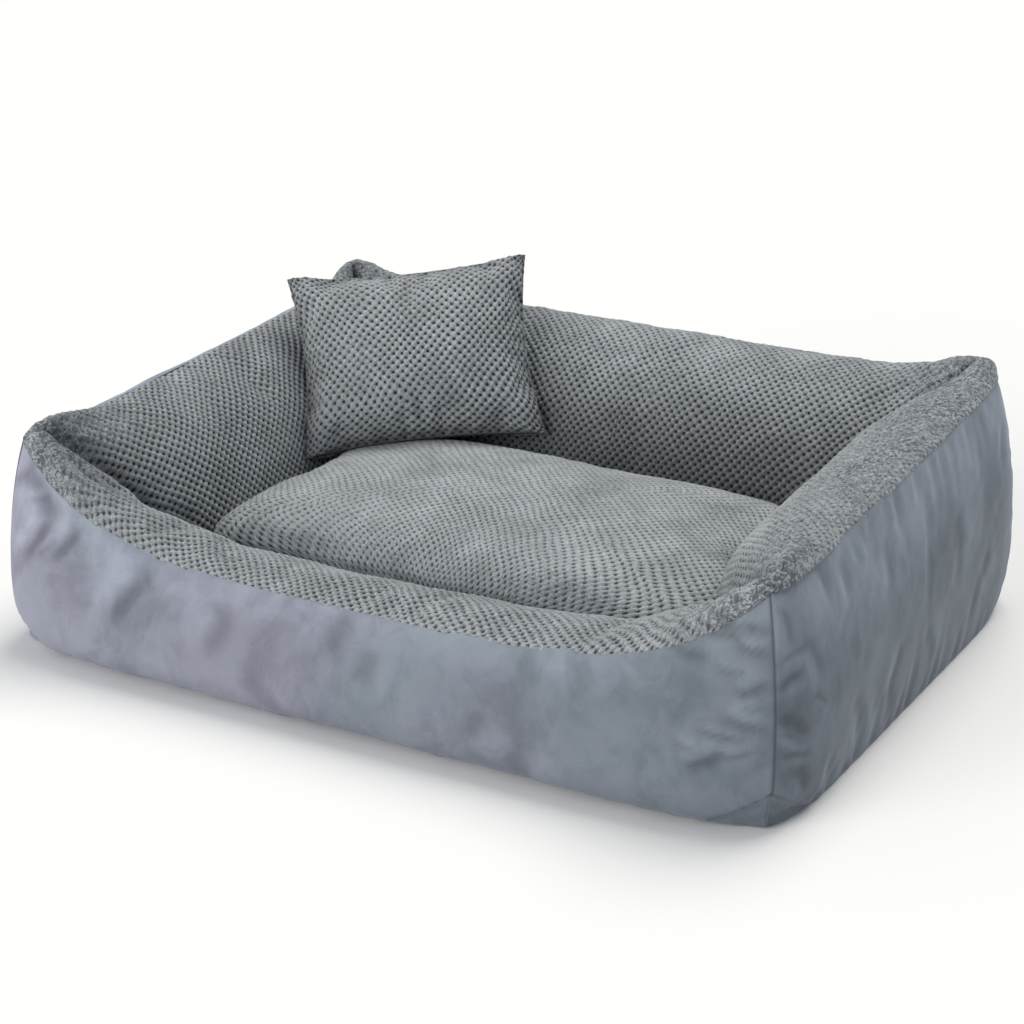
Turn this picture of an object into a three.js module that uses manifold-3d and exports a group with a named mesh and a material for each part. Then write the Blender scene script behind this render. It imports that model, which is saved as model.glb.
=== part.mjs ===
// A rectangular bolster pet bed, in millimetres, +Z up. The origin is the middle of the underside.
// Four stuffed walls stand on a flat floor panel. The front wall dips so that the animal can step in.
// A thick crowned mat lies between the walls and lifts out, and a small cushion leans in the back left
// corner. The mat and the cushion each have a zipped cover round a loose filling.
import * as THREE from 'three';
import Module from 'manifold-3d';

const wasm = await Module();
wasm.setup();

// Driving dimensions of the bed
const halfLength = 450;      // corner tip to middle, along X
const halfWidth = 322;       // corner tip to middle, along Y
const wallFoot = 130;        // how far the foot of a wall reaches inward from the corner line
const cornerFoot = 124;      // the same on the crease between two walls
const velourThick = 1.6;
const plushThick = 3;
const floorThick = 3;
const clearance = 1.6;       // between neighbouring soft solids
const floorMargin = 4;       // floor panel edge to the velour's lower edge
const floorTop = floorThick + 1.2;

// Each wall runs along a tangent, seen from inside from left to right, and faces outward.
// endHeights: corner tips. seamHeight, seamSlope: the top seam in the middle, and its rise to the end.
// dip: how square the dip of the seam is. crestLift, shoulder: how far the plush rises over the seam.
// bellyLow, belly: how far the velour bulges out. tipIn: how far each corner tip lies inside the line.
// bellyRise: height of the belly's upper control point, as a share of the seam's height.
// earReach: the length over which the plush narrows to the corner tip.
const walls = {
  front: {
    normal: [0, -1], tangent: [1, 0], half: halfLength, out: halfWidth,
    endHeights: [258, 250], seamHeight: 134, seamSlope: 4, dip: 5, sag: 0.2,
    crestLift: 26, shoulder: -8, shoulderSlope: 20, shoulderIn: 100,
    bellyLow: 80, bellyLowSlope: 0, belly: 54, seamOut: 20, tipIn: [-6, -1], earReach: [170, 90],
    bellyRise: 0.6,
  },
  right: {
    normal: [1, 0], tangent: [0, 1], half: halfWidth, out: halfLength,
    endHeights: [250, 306], seamHeight: 272, seamSlope: 24, dip: 8, sag: 0,
    crestLift: 28, shoulder: 30, shoulderSlope: -4, shoulderIn: 115,
    bellyLow: 34, bellyLowSlope: -14, belly: 48, seamOut: 18, tipIn: [-1, 9], earReach: [90, 190],
    bellyRise: 0.6,
  },
  back: {
    normal: [0, 1], tangent: [-1, 0], half: halfLength, out: halfWidth,
    endHeights: [306, 307], seamHeight: 270, seamSlope: 4, dip: 8, sag: 0,
    crestLift: 26, shoulder: 14, shoulderSlope: 0, shoulderIn: 100,
    bellyLow: 60, bellyLowSlope: 0, belly: 46, seamOut: 18, tipIn: [9, 0], earReach: [190, 130],
    bellyRise: 0.6,
  },
  left: {
    normal: [-1, 0], tangent: [0, -1], half: halfWidth, out: halfLength,
    endHeights: [307, 258], seamHeight: 262, seamSlope: -16, dip: 8, sag: 0,
    crestLift: 7, shoulder: 4, shoulderSlope: 0, shoulderIn: 100,
    bellyLow: 50, bellyLowSlope: 0, belly: 44, seamOut: -12, tipIn: [0, -6], earReach: [130, 170],
    bellyRise: 1.1,
  },
};
const cornerEdge = 8;         // the velour's lower edge stands this far out at a corner
const middleEdge = 30;        // and this far out in the middle of a wall
const cornerBelly = [28, 30]; // bulge of the corner, low and high
const bulgePower = 9;         // how tightly the outline turns at the corners
const cornerRise = 0.6;       // the corner's own bellyRise
const crestStart = 8;         // the crest's first control point stands this far inside the seam
const footHeight = [95, 90];  // height of the plush's foot, in a corner and along a wall
const crease = { depths: [38, 86], drops: [42, 90] }; // control points of the crease under a corner tip
const stations = 14;          // sections along a wall
const floorTurns = [-1, -0.97, -0.92, -0.84, -0.72, -0.5, 0.5, 0.72, 0.84, 0.92, 0.97];
const mitreGap = 0.6;         // each wall end stops this far short of the corner's diagonal plane
const liningStart = [0.01, 0.045]; // where the lining starts past the seam, and how much more at a tip

// Driving dimensions of the mat
const matHalf = [316, 188];
const matCorner = 12;         // exponent of the mat's rounded outline
const matTop = { middle: 156, rim: 150, seam: 22 };
const matReach = { shoulder: 0.8, side: 1.24, seam: 0.87 };
const matBase = { height: 5, inner: 0.5, outer: 0.79 };
const matSeamGap = 0.5;       // each cover stops this far short of the seam
const matRings = [0.16, 0.34, 0.5, 0.62, 0.74, 0.86, 1];
const matBaseRings = [0.4, 0.75, 1];
const matSideStations = [-1, -0.92, -0.78, -0.4, 0, 0.4, 0.78, 0.92];

// Driving dimensions of the small cushion
const cushionMiddle = new THREE.Vector3(-243, 158, 243);
const cushionAlong = new THREE.Vector3(240, 160, 26);
const cushionUp = new THREE.Vector3(-85, 97, 182);
const cushionHalf = [150, 117];
const cushionThick = 44;      // seam to the fullest point, each side
const cushionWaist = 0.085;   // how far each edge pulls in between its corners
const cushionSeam = 2;        // half the thickness of the edge seam
const cushionFullness = 0.42;
const cushionCore = { reach: 0.94, share: 0.88, gap: 8, least: 0.4 }; // the filling, inside its covers
const cushionCells = [12, 10];

// Driving dimensions of the two zips
const tape = { width: 22, thick: 0.7, coilWidth: 4.4, coilHigh: 1.5 };
const slider = { length: 10, width: 9, plate: 1.1, flange: 1.3, lift: 0.4 };
const bridge = { reach: 2.3, high: 2.5, strap: 0.9, width: 2.2 };
const pull = { length: 19, width: 6.4, thick: 1.1, eyeLength: 5, eyeWidth: 3.8, bar: 1.1 };
const matZip = { length: 400, travelEnd: 12 };
const cushionZip = { length: 150, travelEnd: 10, row: -0.62, flat: 1.6 };

const colours = {
  velour: 0x8b90a1, plush: 0x7b7f83, base: 0x35373c, fill: 0xe9e8e4, lining: 0x55585d,
  tape: 0x6c7077, metal: 0x8f9296,
};

// Small helpers

function material(colour, roughness, metalness = 0) {
  return new THREE.MeshStandardMaterial({ color: colour, roughness, metalness });
}

// The point at w on the cubic Bezier curve through four control numbers.
function bezier(a, b, c, d, w) {
  const u = 1 - w;
  return u * u * u * a + 3 * u * u * w * b + 3 * u * w * w * c + w * w * w * d;
}

function mix(a, b, share) {
  return a + (b - a) * share;
}

function named(name, geometry, look) {
  const mesh = new THREE.Mesh(geometry, look);
  mesh.name = name;
  return mesh;
}

function geometryOf(points, faces) {
  const geometry = new THREE.BufferGeometry();
  const numbers = points.flatMap((p) => p.toArray());
  geometry.setAttribute('position', new THREE.Float32BufferAttribute(numbers, 3));
  geometry.setIndex(faces.flat());
  geometry.computeVertexNormals();
  return geometry;
}

// Triangles of a grid of points that starts at an index, with its rows joined end to end if it closes.
function gridFaces(start, rows, columns, closes, flip) {
  const faces = [];
  const last = closes ? columns : columns - 1;
  for (let r = 0; r < rows - 1; r += 1) {
    for (let c = 0; c < last; c += 1) {
      const next = (c + 1) % columns;
      const a = start + r * columns + c;
      const b = start + r * columns + next;
      const d = a + columns;
      const e = b + columns;
      if (flip) {
        faces.push([a, e, b], [a, d, e]);
      } else {
        faces.push([a, b, e], [a, e, d]);
      }
    }
  }
  return faces;
}

// A sheet with thickness: two grids of the same size, closed round their four edges.
function thickSheet(outer, inner) {
  const rows = outer.length;
  const columns = outer[0].length;
  const points = [...outer.flat(), ...inner.flat()];
  const half = rows * columns;
  const faces = gridFaces(0, rows, columns, false, false);
  faces.push(...gridFaces(half, rows, columns, false, true));
  const edge = [];
  for (let c = 0; c < columns - 1; c += 1) edge.push(c);
  for (let r = 0; r < rows - 1; r += 1) edge.push(r * columns + columns - 1);
  for (let c = columns - 1; c > 0; c -= 1) edge.push((rows - 1) * columns + c);
  for (let r = rows - 1; r > 0; r -= 1) edge.push(r * columns);
  edge.forEach((a, i) => {
    const b = edge[(i + 1) % edge.length];
    faces.push([a, half + a, half + b], [a, half + b, b]);
  });
  return geometryOf(points, faces);
}

// The unit normal of a surface point(a, b), by small differences.
function normalAt(point, a, b) {
  const step = 0.004;
  const alongA = point(a + step, b).sub(point(a - step, b));
  const alongB = point(a, b + step).sub(point(a, b - step));
  return alongA.cross(alongB).normalize();
}

// Walls. Along a wall, t runs from -1 to 1 between its corners. In a section, w runs from 0 to 1.

function seamHeightAt(wall, t) {
  const straight = mix(wall.endHeights[0], wall.endHeights[1], (t + 1) / 2);
  const share = wall.sag * t * t + (1 - wall.sag) * Math.abs(t) ** wall.dip;
  return mix(wall.seamHeight + wall.seamSlope * t, straight, share);
}

function wallPoint(wall, t, cornerDepth, depth, height) {
  const along = (wall.half - cornerDepth) * t;
  const out = wall.out - depth;
  const x = wall.tangent[0] * along + wall.normal[0] * out;
  const y = wall.tangent[1] * along + wall.normal[1] * out;
  return new THREE.Vector3(x, y, height);
}

// The velour face: from the lower edge, out round the belly, and up to the top seam.
function velourPoint(wall, t, w) {
  const tip = wall.tipIn[t < 0 ? 0 : 1];
  const swell = 1 - Math.abs(t) ** bulgePower;
  const seam = seamHeightAt(wall, t);
  const low = wall.bellyLow + wall.bellyLowSlope * t;
  const corner = [-cornerEdge, -cornerBelly[0], -cornerBelly[1], tip];
  const middle = [-middleEdge, -low, -wall.belly, -wall.seamOut];
  const section = corner.map((value, i) => mix(value, middle[i], swell));
  const rise = mix(cornerRise, wall.bellyRise, Math.max(0, 1.2 * swell - 0.2)) * seam;
  return wallPoint(wall, t, bezier(...corner, w), bezier(...section, w), bezier(1, 0, rise, seam, w));
}

// The plush face: from the top seam, over the crest, and down the inner side. It is pinched at a corner.
function plushPoint(wall, t, w) {
  const side = t < 0 ? 0 : 1;
  const tip = wall.tipIn[side];
  const fromCorner = Math.min(1, (wall.half * (1 - Math.abs(t))) / wall.earReach[side]);
  const full = 1 - (1 - fromCorner) ** 2;
  const seam = seamHeightAt(wall, t);
  const seamDepth = mix(-wall.seamOut, tip, Math.abs(t) ** bulgePower);
  const corner = [tip, tip + crease.depths[0], crease.depths[1], cornerFoot];
  const shoulder = wall.shoulder + wall.shoulderSlope * t;
  const depths = [
    seamDepth, mix(corner[1], crestStart - wall.seamOut, full), mix(corner[2], wall.shoulderIn, full),
    mix(corner[3], wallFoot, full),
  ];
  const heights = [
    seam, seam + mix(-crease.drops[0], wall.crestLift, full), seam + mix(-crease.drops[1], shoulder, full),
    mix(...footHeight, full),
  ];
  const height = w > 1 ? mix(heights[3], floorTop, w - 1) : bezier(...heights, w);
  const reach = Math.min(w, 1);
  return wallPoint(wall, t, bezier(...corner, reach), bezier(...depths, reach), height);
}

// Moves a point inward from its face and keeps it on its own side of the corners and above a height.
function inset(wall, face, t, w, distance, lowest) {
  const point = face(wall, t, w);
  const reach = Math.min(Math.max(w, 0.01), 1.99);
  const inside = Math.min(Math.max(t, -0.99), 0.99);
  const normal = normalAt((a, b) => face(wall, a, b), inside, reach === 1 ? 0.985 : reach);
  point.addScaledVector(normal, -distance);
  return keepOnSide(wall, point, lowest);
}

function keepOnSide(wall, point, lowest) {
  const along = point.x * wall.tangent[0] + point.y * wall.tangent[1];
  const depth = wall.out - (point.x * wall.normal[0] + point.y * wall.normal[1]);
  const limit = wall.half - depth - mitreGap;
  const kept = Math.max(-limit, Math.min(limit, along));
  point.x += (kept - along) * wall.tangent[0];
  point.y += (kept - along) * wall.tangent[1];
  point.z = Math.max(point.z, lowest);
  return point;
}

function stationAt(j) {
  return Math.sin((Math.PI / 2) * ((2 * j) / stations - 1));
}

// A grid over a face, one row for each w and one column for each station, at a distance inside it.
function faceGrid(wall, face, rows, distance, lowest) {
  return rows.map((w) => {
    const row = [];
    for (let j = 0; j <= stations; j += 1) {
      const t = stationAt(j);
      row.push(inset(wall, face, t, w + startGap(face, t, w), distance, lowest));
    }
    return row;
  });
}

// The plush starts a little past the seam, and more so at the corner tips, where the wall is sharp.
function startGap(face, t, w) {
  return face === plushPoint && w === 0 ? liningStart[0] + liningStart[1] * Math.abs(t) ** 8 : 0;
}

function outerPanel(wall) {
  const rows = [0, 0.16, 0.34, 0.56, 0.78, 0.98];
  const outer = faceGrid(wall, velourPoint, rows, 0, 1);
  return thickSheet(outer, faceGrid(wall, velourPoint, rows, velourThick, 1));
}

function lining(wall) {
  const rows = [0, 0.14, 0.28, 0.44, 0.6, 0.78, 1, 2];
  const outer = faceGrid(wall, plushPoint, rows, 0, floorTop);
  return thickSheet(outer, faceGrid(wall, plushPoint, rows, plushThick, floorTop));
}

// The filling: a ring of points at each station, inside both faces, with a flat cap at each end.
function wallFill(wall) {
  const low = floorTop + clearance;
  const under = faceGrid(wall, velourPoint, [0, 0.16, 0.34, 0.56, 0.78], velourThick + clearance, low);
  const over = faceGrid(wall, plushPoint, [0.14, 0.28, 0.44, 0.6, 0.78, 1, 2], plushThick + clearance, low);
  const rows = [...under, ...over];
  const count = rows.length;
  const points = [];
  for (let j = 0; j <= stations; j += 1) rows.forEach((row) => points.push(row[j]));
  const faces = gridFaces(0, stations + 1, count, true, true);
  const flatOf = (j) => rows.map((row) => {
    const out = row[j].x * wall.normal[0] + row[j].y * wall.normal[1];
    return new THREE.Vector2(out, row[j].z);
  });
  const first = THREE.ShapeUtils.triangulateShape(flatOf(0), []);
  const last = THREE.ShapeUtils.triangulateShape(flatOf(stations), []);
  const turned = THREE.ShapeUtils.area(flatOf(0)) > 0;
  first.forEach(([a, b, c]) => faces.push(turned ? [a, b, c] : [a, c, b]));
  const base = stations * count;
  last.forEach(([a, b, c]) => {
    const [p, q, r] = [base + a, base + b, base + c];
    faces.push(turned ? [p, r, q] : [p, q, r]);
  });
  return geometryOf(points, faces);
}

// The flat panel that the bed stands on, just inside the lower edge of the velour all round.
function floorPanel() {
  const corner = floorMargin - cornerEdge;
  const middle = floorMargin - middleEdge;
  const outline = Object.values(walls).flatMap((wall) => floorTurns.map((t) => {
    const point = wallPoint(wall, t, corner, mix(corner, middle, 1 - Math.abs(t) ** bulgePower), 0);
    return new THREE.Vector2(point.x, point.y);
  }));
  return new THREE.ExtrudeGeometry(new THREE.Shape(outline), { depth: floorThick, bevelEnabled: false });
}

// Mat. A ring of stations goes round its outline, and m runs from its middle to the seam.

function matStations() {
  const list = [];
  for (let side = 0; side < 4; side += 1) {
    matSideStations.forEach((s) => {
      const turned = [[s, -1], [1, s], [-s, 1], [-1, -s]][side];
      list.push(turned);
    });
  }
  return list;
}

function outlineScale([u, v]) {
  return 1 / (Math.abs(u) ** matCorner + Math.abs(v) ** matCorner) ** (1 / matCorner);
}

function matPoint(station, m, isTop, distance) {
  const reach = isTop
    ? bezier(0, matReach.shoulder, matReach.side, matReach.seam, m)
    : bezier(0, matBase.inner, matBase.outer, matReach.seam, m);
  const height = isTop
    ? bezier(matTop.middle, matTop.middle, matTop.rim, matTop.seam, m)
    : bezier(matBase.height, matBase.height, matBase.height, matTop.seam, m);
  const scale = outlineScale(station) * reach;
  const middle = (matTop.middle + matBase.height) / 2;
  const squash = 1 - distance / (matTop.middle - middle);
  return new THREE.Vector3(
    station[0] * scale * (matHalf[0] - distance),
    station[1] * scale * (matHalf[1] - distance),
    middle + (height - middle) * squash,
  );
}

function matGrid(rings, isTop, distance) {
  return rings.map((m) => matStations().map((station) => matPoint(station, m, isTop, distance)));
}

// A bowl-shaped cover: an outer and an inner skin, joined round the rim, with a point in the middle.
function bowl(outer, inner, outerPole, innerPole, isTop) {
  const columns = outer[0].length;
  const rows = outer.length;
  const half = rows * columns + 1;
  const points = [...outer.flat(), outerPole, ...inner.flat(), innerPole];
  const faces = gridFaces(0, rows, columns, true, isTop);
  faces.push(...gridFaces(half, rows, columns, true, !isTop));
  const rim = (rows - 1) * columns;
  for (let c = 0; c < columns; c += 1) {
    const next = (c + 1) % columns;
    const fan = [half - 1, c, next];
    const innerFan = [2 * half - 1, half + next, half + c];
    const a = rim + c;
    const b = rim + next;
    const strip = [[a, half + a, half + b], [a, half + b, b]];
    faces.push(isTop ? fan : fan.reverse(), isTop ? innerFan : innerFan.reverse());
    strip.forEach((face) => faces.push(isTop ? face : face.reverse()));
  }
  return geometryOf(points, faces);
}

function matCover(isTop) {
  const rings = isTop ? matRings : matBaseRings;
  const lift = isTop ? matSeamGap : -matSeamGap;
  const thick = isTop ? plushThick : velourThick;
  const outer = matGrid(rings, isTop, 0);
  const inner = matGrid(rings, isTop, thick);
  const edge = outer.length - 1;
  [...outer[edge], ...inner[edge]].forEach((point) => { point.z += lift; });
  const pole = (distance) => matPoint([1e-6, 1e-6], 0, isTop, distance);
  return bowl(outer, inner, pole(0), pole(thick), isTop);
}

function matFill() {
  const gap = plushThick + clearance;
  const upper = matGrid(matRings.slice(0, -1), true, gap);
  const lower = matGrid(matBaseRings.slice(0, -1), false, gap).reverse();
  const rows = [...upper, ...lower];
  const columns = rows[0].length;
  const poles = [matPoint([1e-6, 1e-6], 0, true, gap), matPoint([1e-6, 1e-6], 0, false, gap)];
  const points = [...rows.flat(), ...poles];
  const faces = gridFaces(0, rows.length, columns, true, true);
  const top = rows.length * columns;
  const last = (rows.length - 1) * columns;
  for (let c = 0; c < columns; c += 1) {
    const next = (c + 1) % columns;
    faces.push([top, c, next], [top + 1, last + next, last + c]);
  }
  return geometryOf(points, faces);
}

// Small cushion. It lies in its own frame, X along its width, Y up its height, Z out of its front.

function cushionFrame() {
  const along = cushionAlong.clone().normalize();
  const up = cushionUp.clone().addScaledVector(along, -cushionUp.dot(along)).normalize();
  const out = along.clone().cross(up);
  return new THREE.Matrix4().makeBasis(along, up, out).setPosition(cushionMiddle);
}

function cushionPlace(u, v, scale) {
  const x = cushionHalf[0] * u * (1 - cushionWaist * (1 - v * v)) * scale;
  const y = cushionHalf[1] * v * (1 - cushionWaist * (1 - u * u)) * scale;
  return [x, y];
}

function cushionHeight(u, v) {
  return cushionSeam + cushionThick * ((1 - u * u) * (1 - v * v)) ** cushionFullness;
}

// A grid of points over the cushion's outline, at the height that a function gives.
function cushionGrid(height, scale) {
  const rows = [];
  for (let r = 0; r <= cushionCells[1]; r += 1) {
    const v = Math.sin((Math.PI / 2) * ((2 * r) / cushionCells[1] - 1));
    const row = [];
    for (let c = 0; c <= cushionCells[0]; c += 1) {
      const u = Math.sin((Math.PI / 2) * ((2 * c) / cushionCells[0] - 1));
      row.push(new THREE.Vector3(...cushionPlace(u, v, scale), height(u, v)));
    }
    rows.push(row);
  }
  return rows;
}

function cushionCover(side) {
  const outer = cushionGrid((u, v) => side * cushionHeight(u, v), 1);
  const innerHeight = (u, v) => cushionHeight(u, v) - velourThick;
  const inner = cushionGrid((u, v) => side * innerHeight(u, v), 1);
  return side > 0 ? thickSheet(outer, inner) : thickSheet(inner, outer);
}

function cushionFill() {
  const { reach, share, gap, least } = cushionCore;
  const height = (u, v) => Math.max(least, (cushionHeight(u * reach, v * reach) - cushionSeam) * share - gap);
  return thickSheet(cushionGrid(height, reach), cushionGrid((u, v) => -height(u, v), reach));
}

// Zips. Each is made flat: X along the coil, Z out of the tape, and its origin under the coil's middle.

function zipTape(length) {
  const w = tape.width / 2;
  const c = tape.coilWidth / 2;
  const top = tape.thick + tape.coilHigh;
  const outline = [[-w, 0], [w, 0], [w, tape.thick], [c, tape.thick], [c * 0.6, top], [-c * 0.6, top],
    [-c, tape.thick], [-w, tape.thick]].map(([x, y]) => new THREE.Vector2(x, y));
  const geometry = new THREE.ExtrudeGeometry(new THREE.Shape(outline), { depth: length, bevelEnabled: false });
  geometry.translate(0, 0, -length / 2);
  geometry.rotateX(Math.PI / 2);
  return geometry.rotateZ(Math.PI / 2);
}

function solidOf(geometry) {
  const plain = geometry.index ? geometry.toNonIndexed() : geometry;
  const source = plain.getAttribute('position');
  const found = new Map();
  const vertices = [];
  const corners = [];
  for (let i = 0; i < source.count; i += 1) {
    const place = [source.getX(i), source.getY(i), source.getZ(i)];
    const key = place.map((value) => Math.round(value * 1e4)).join();
    if (!found.has(key)) {
      found.set(key, vertices.length / 3);
      vertices.push(...place);
    }
    corners.push(found.get(key));
  }
  const mesh = new wasm.Mesh({
    numProp: 3, vertProperties: new Float32Array(vertices), triVerts: new Uint32Array(corners),
  });
  return new wasm.Manifold(mesh);
}

function geometryFrom(solid) {
  const mesh = solid.getMesh();
  const geometry = new THREE.BufferGeometry();
  geometry.setAttribute('position', new THREE.BufferAttribute(new Float32Array(mesh.vertProperties), 3));
  geometry.setIndex(new THREE.BufferAttribute(new Uint32Array(mesh.triVerts), 1));
  return geometry;
}

const sliderBase = tape.thick + slider.lift;
const sliderTop = sliderBase + tape.coilHigh + slider.lift + slider.plate;
const barHeight = sliderTop + bridge.high / 2;

// The slider: a plate with a pointed nose and two flanges, and an arch on it that holds the pull.
function zipSlider() {
  const l = slider.length / 2;
  const w = slider.width / 2;
  const nose = [[-l, -w], [l * 0.2, -w], [l, -w * 0.55], [l, w * 0.55], [l * 0.2, w], [-l, w]];
  const outline = new THREE.Shape(nose.map(([x, y]) => new THREE.Vector2(x, y)));
  const body = new THREE.ExtrudeGeometry(outline, { depth: sliderTop - sliderBase, bevelEnabled: false });
  body.translate(0, 0, sliderBase);
  const channel = new THREE.BoxGeometry(slider.length * 2, slider.width - 2 * slider.flange, 8);
  channel.translate(0, 0, sliderTop - slider.plate - 4);
  const side = new THREE.Shape();
  const outerReach = bridge.reach + bridge.strap;
  side.moveTo(-outerReach, -0.3);
  side.lineTo(-outerReach, bridge.high * 0.5);
  side.quadraticCurveTo(-outerReach, bridge.high + bridge.strap, 0, bridge.high + bridge.strap);
  side.quadraticCurveTo(outerReach, bridge.high + bridge.strap, outerReach, bridge.high * 0.5);
  side.lineTo(outerReach, -0.3);
  side.lineTo(bridge.reach, -0.3);
  side.lineTo(bridge.reach, bridge.high * 0.5);
  side.quadraticCurveTo(bridge.reach, bridge.high, 0, bridge.high);
  side.quadraticCurveTo(-bridge.reach, bridge.high, -bridge.reach, bridge.high * 0.5);
  side.lineTo(-bridge.reach, -0.3);
  const arch = new THREE.ExtrudeGeometry(side, { depth: bridge.width, bevelEnabled: false, curveSegments: 4 });
  arch.translate(0, 0, -bridge.width / 2);
  arch.rotateX(Math.PI / 2);
  arch.translate(0, 0, sliderTop);
  return geometryFrom(solidOf(body).subtract(solidOf(channel)).add(solidOf(arch)));
}

// The pull tab: a rounded plate whose eye goes round the slider's arch. Its origin is on its cross bar.
function zipPull() {
  const w = pull.width / 2;
  const tab = new THREE.Shape();
  tab.moveTo(-pull.bar / 2, -w);
  tab.lineTo(pull.length - w, -w);
  tab.absarc(pull.length - w, 0, w, -Math.PI / 2, Math.PI / 2, false);
  tab.lineTo(-pull.bar / 2, w);
  const eye = new THREE.Path();
  const near = pull.bar / 2;
  const far = near + pull.eyeLength;
  eye.moveTo(near, -pull.eyeWidth / 2);
  eye.lineTo(near, pull.eyeWidth / 2);
  eye.lineTo(far, pull.eyeWidth / 2);
  eye.lineTo(far, -pull.eyeWidth / 2);
  tab.holes.push(eye);
  const settings = { depth: pull.thick, bevelEnabled: false, curveSegments: 5 };
  return new THREE.ExtrudeGeometry(tab, settings).translate(0, 0, -pull.thick / 2);
}

// A zip with its tape, its slider near one end, and its pull lying flat towards the other end.
function zip(prefix, size, frame) {
  const group = new THREE.Group();
  const rest = size.length / 2 - size.travelEnd;
  const body = named(`${prefix}_zip_slider`, zipSlider(), material(colours.metal, 0.35, 1));
  const tab = named(`${prefix}_zip_pull`, zipPull(), material(colours.metal, 0.35, 1));
  body.position.set(rest, 0, 0);
  tab.position.set(rest, 0, barHeight);
  tab.rotation.z = Math.PI;
  group.add(named(`${prefix}_zip_tape`, zipTape(size.length), material(colours.tape, 0.8)), body, tab);
  group.applyMatrix4(frame);
  return group;
}

// The mat's zip lies along the seam under the back edge, facing out and down.
function matZipFrame() {
  const down = new THREE.Vector3(0, -0.5, -0.866).normalize();
  const along = new THREE.Vector3(1, 0, 0);
  const out = along.clone().cross(down);
  const place = new THREE.Vector3(0, matHalf[1] * matReach.seam, matTop.seam).addScaledVector(out, 2.2);
  return new THREE.Matrix4().makeBasis(along, down, out).setPosition(place);
}

// The cushion's zip lies across its back cover, near the lower edge.
function cushionZipFrame() {
  const v = cushionZip.row;
  const slope = 0.01;
  const rise = (cushionHeight(0, v + slope) - cushionHeight(0, v - slope)) / (2 * slope * cushionHalf[1]);
  const up = new THREE.Vector3(0, 1, -rise).normalize();
  const along = new THREE.Vector3(-1, 0, 0);
  const out = along.clone().cross(up);
  const place = new THREE.Vector3(0, cushionPlace(0, v, 1)[1], -cushionHeight(0, v));
  place.addScaledVector(out, cushionZip.flat);
  const local = new THREE.Matrix4().makeBasis(along, up, out).setPosition(place);
  return cushionFrame().multiply(local);
}

// Assembly

const bed = new THREE.Group();
const velour = material(colours.velour, 0.85);
const plush = material(colours.plush, 0.95);
const fibre = material(colours.fill, 1);
bed.add(named('floor_panel', floorPanel(), material(colours.base, 0.8)));
Object.entries(walls).forEach(([side, wall]) => {
  bed.add(named(`${side}_outer_panel`, outerPanel(wall), velour.clone()));
  bed.add(named(`${side}_lining`, lining(wall), plush.clone()));
  bed.add(named(`${side}_wall_fill`, wallFill(wall), fibre.clone()));
});
bed.add(named('mat_top_cover', matCover(true), plush.clone()));
bed.add(named('mat_bottom_cover', matCover(false), material(colours.lining, 0.9)));
bed.add(named('mat_fill', matFill(), fibre.clone()));
bed.add(zip('mat', matZip, matZipFrame()));

const cushion = new THREE.Group();
cushion.add(named('cushion_front_cover', cushionCover(1), plush.clone()));
cushion.add(named('cushion_back_cover', cushionCover(-1), plush.clone()));
cushion.add(named('cushion_fill', cushionFill(), fibre.clone()));
cushion.applyMatrix4(cushionFrame());
bed.add(cushion);
bed.add(zip('cushion', cushionZip, cushionZipFrame()));
bed.updateMatrixWorld(true);

export default bed;
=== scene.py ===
import math

import bmesh
import bpy
import numpy as np
from mathutils import Matrix, Vector


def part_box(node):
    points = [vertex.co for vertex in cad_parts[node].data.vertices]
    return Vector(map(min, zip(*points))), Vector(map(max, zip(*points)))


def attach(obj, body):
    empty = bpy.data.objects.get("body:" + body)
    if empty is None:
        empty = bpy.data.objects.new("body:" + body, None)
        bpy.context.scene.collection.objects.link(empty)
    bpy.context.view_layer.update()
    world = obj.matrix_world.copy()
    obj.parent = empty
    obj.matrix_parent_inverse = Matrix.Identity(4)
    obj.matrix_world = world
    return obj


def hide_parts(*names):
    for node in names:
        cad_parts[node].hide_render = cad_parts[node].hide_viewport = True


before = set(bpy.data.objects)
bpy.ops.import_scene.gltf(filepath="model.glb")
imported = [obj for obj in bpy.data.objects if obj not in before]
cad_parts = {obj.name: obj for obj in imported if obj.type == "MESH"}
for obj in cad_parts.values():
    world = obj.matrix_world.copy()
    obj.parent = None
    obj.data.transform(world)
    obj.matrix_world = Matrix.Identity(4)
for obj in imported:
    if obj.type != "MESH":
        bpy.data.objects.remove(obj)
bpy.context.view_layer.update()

mm = 0.001
perMetre = 1000.0


def linearColour(code):
    # sRGB hex to linear RGBA
    parts = [int(code[i:i + 2], 16) / 255 for i in (1, 3, 5)]
    return tuple(c / 12.92 if c <= 0.04045 else ((c + 0.055) / 1.055) ** 2.4 for c in parts) + (1.0,)


def mix(a, b, share):
    # a at share 0, b at share 1
    return a + (b - a) * share


def smooth(low, high, x):
    # 0 below low, 1 above high, and an S-curve between
    k = np.clip((x - low) / (high - low), 0, 1)
    return k * k * (3 - 2 * k)


def bezier(a, b, c, d, w):
    # cubic Bezier through four control numbers or arrays
    u = 1 - w
    return u ** 3 * a + 3 * u * u * w * b + 3 * u * w * w * c + w ** 3 * d


def softNoise(a, b, size, seed):
    # value noise: random heights on a square lattice of that size, joined by S-curves, from -1 to 1
    table = np.random.default_rng(seed).uniform(-1, 1, (64, 64))
    x, y = a / size, b / size
    i, j = np.floor(x).astype(int), np.floor(y).astype(int)
    fx, fy = x - i, y - j
    fx, fy = fx * fx * (3 - 2 * fx), fy * fy * (3 - 2 * fy)

    def at(di, dj):
        return table[(i + di) % len(table), (j + dj) % len(table)]

    low = at(0, 0) * (1 - fx) + at(1, 0) * fx
    high = at(0, 1) * (1 - fx) + at(1, 1) * fx
    return low * (1 - fy) + high * fy


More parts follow.
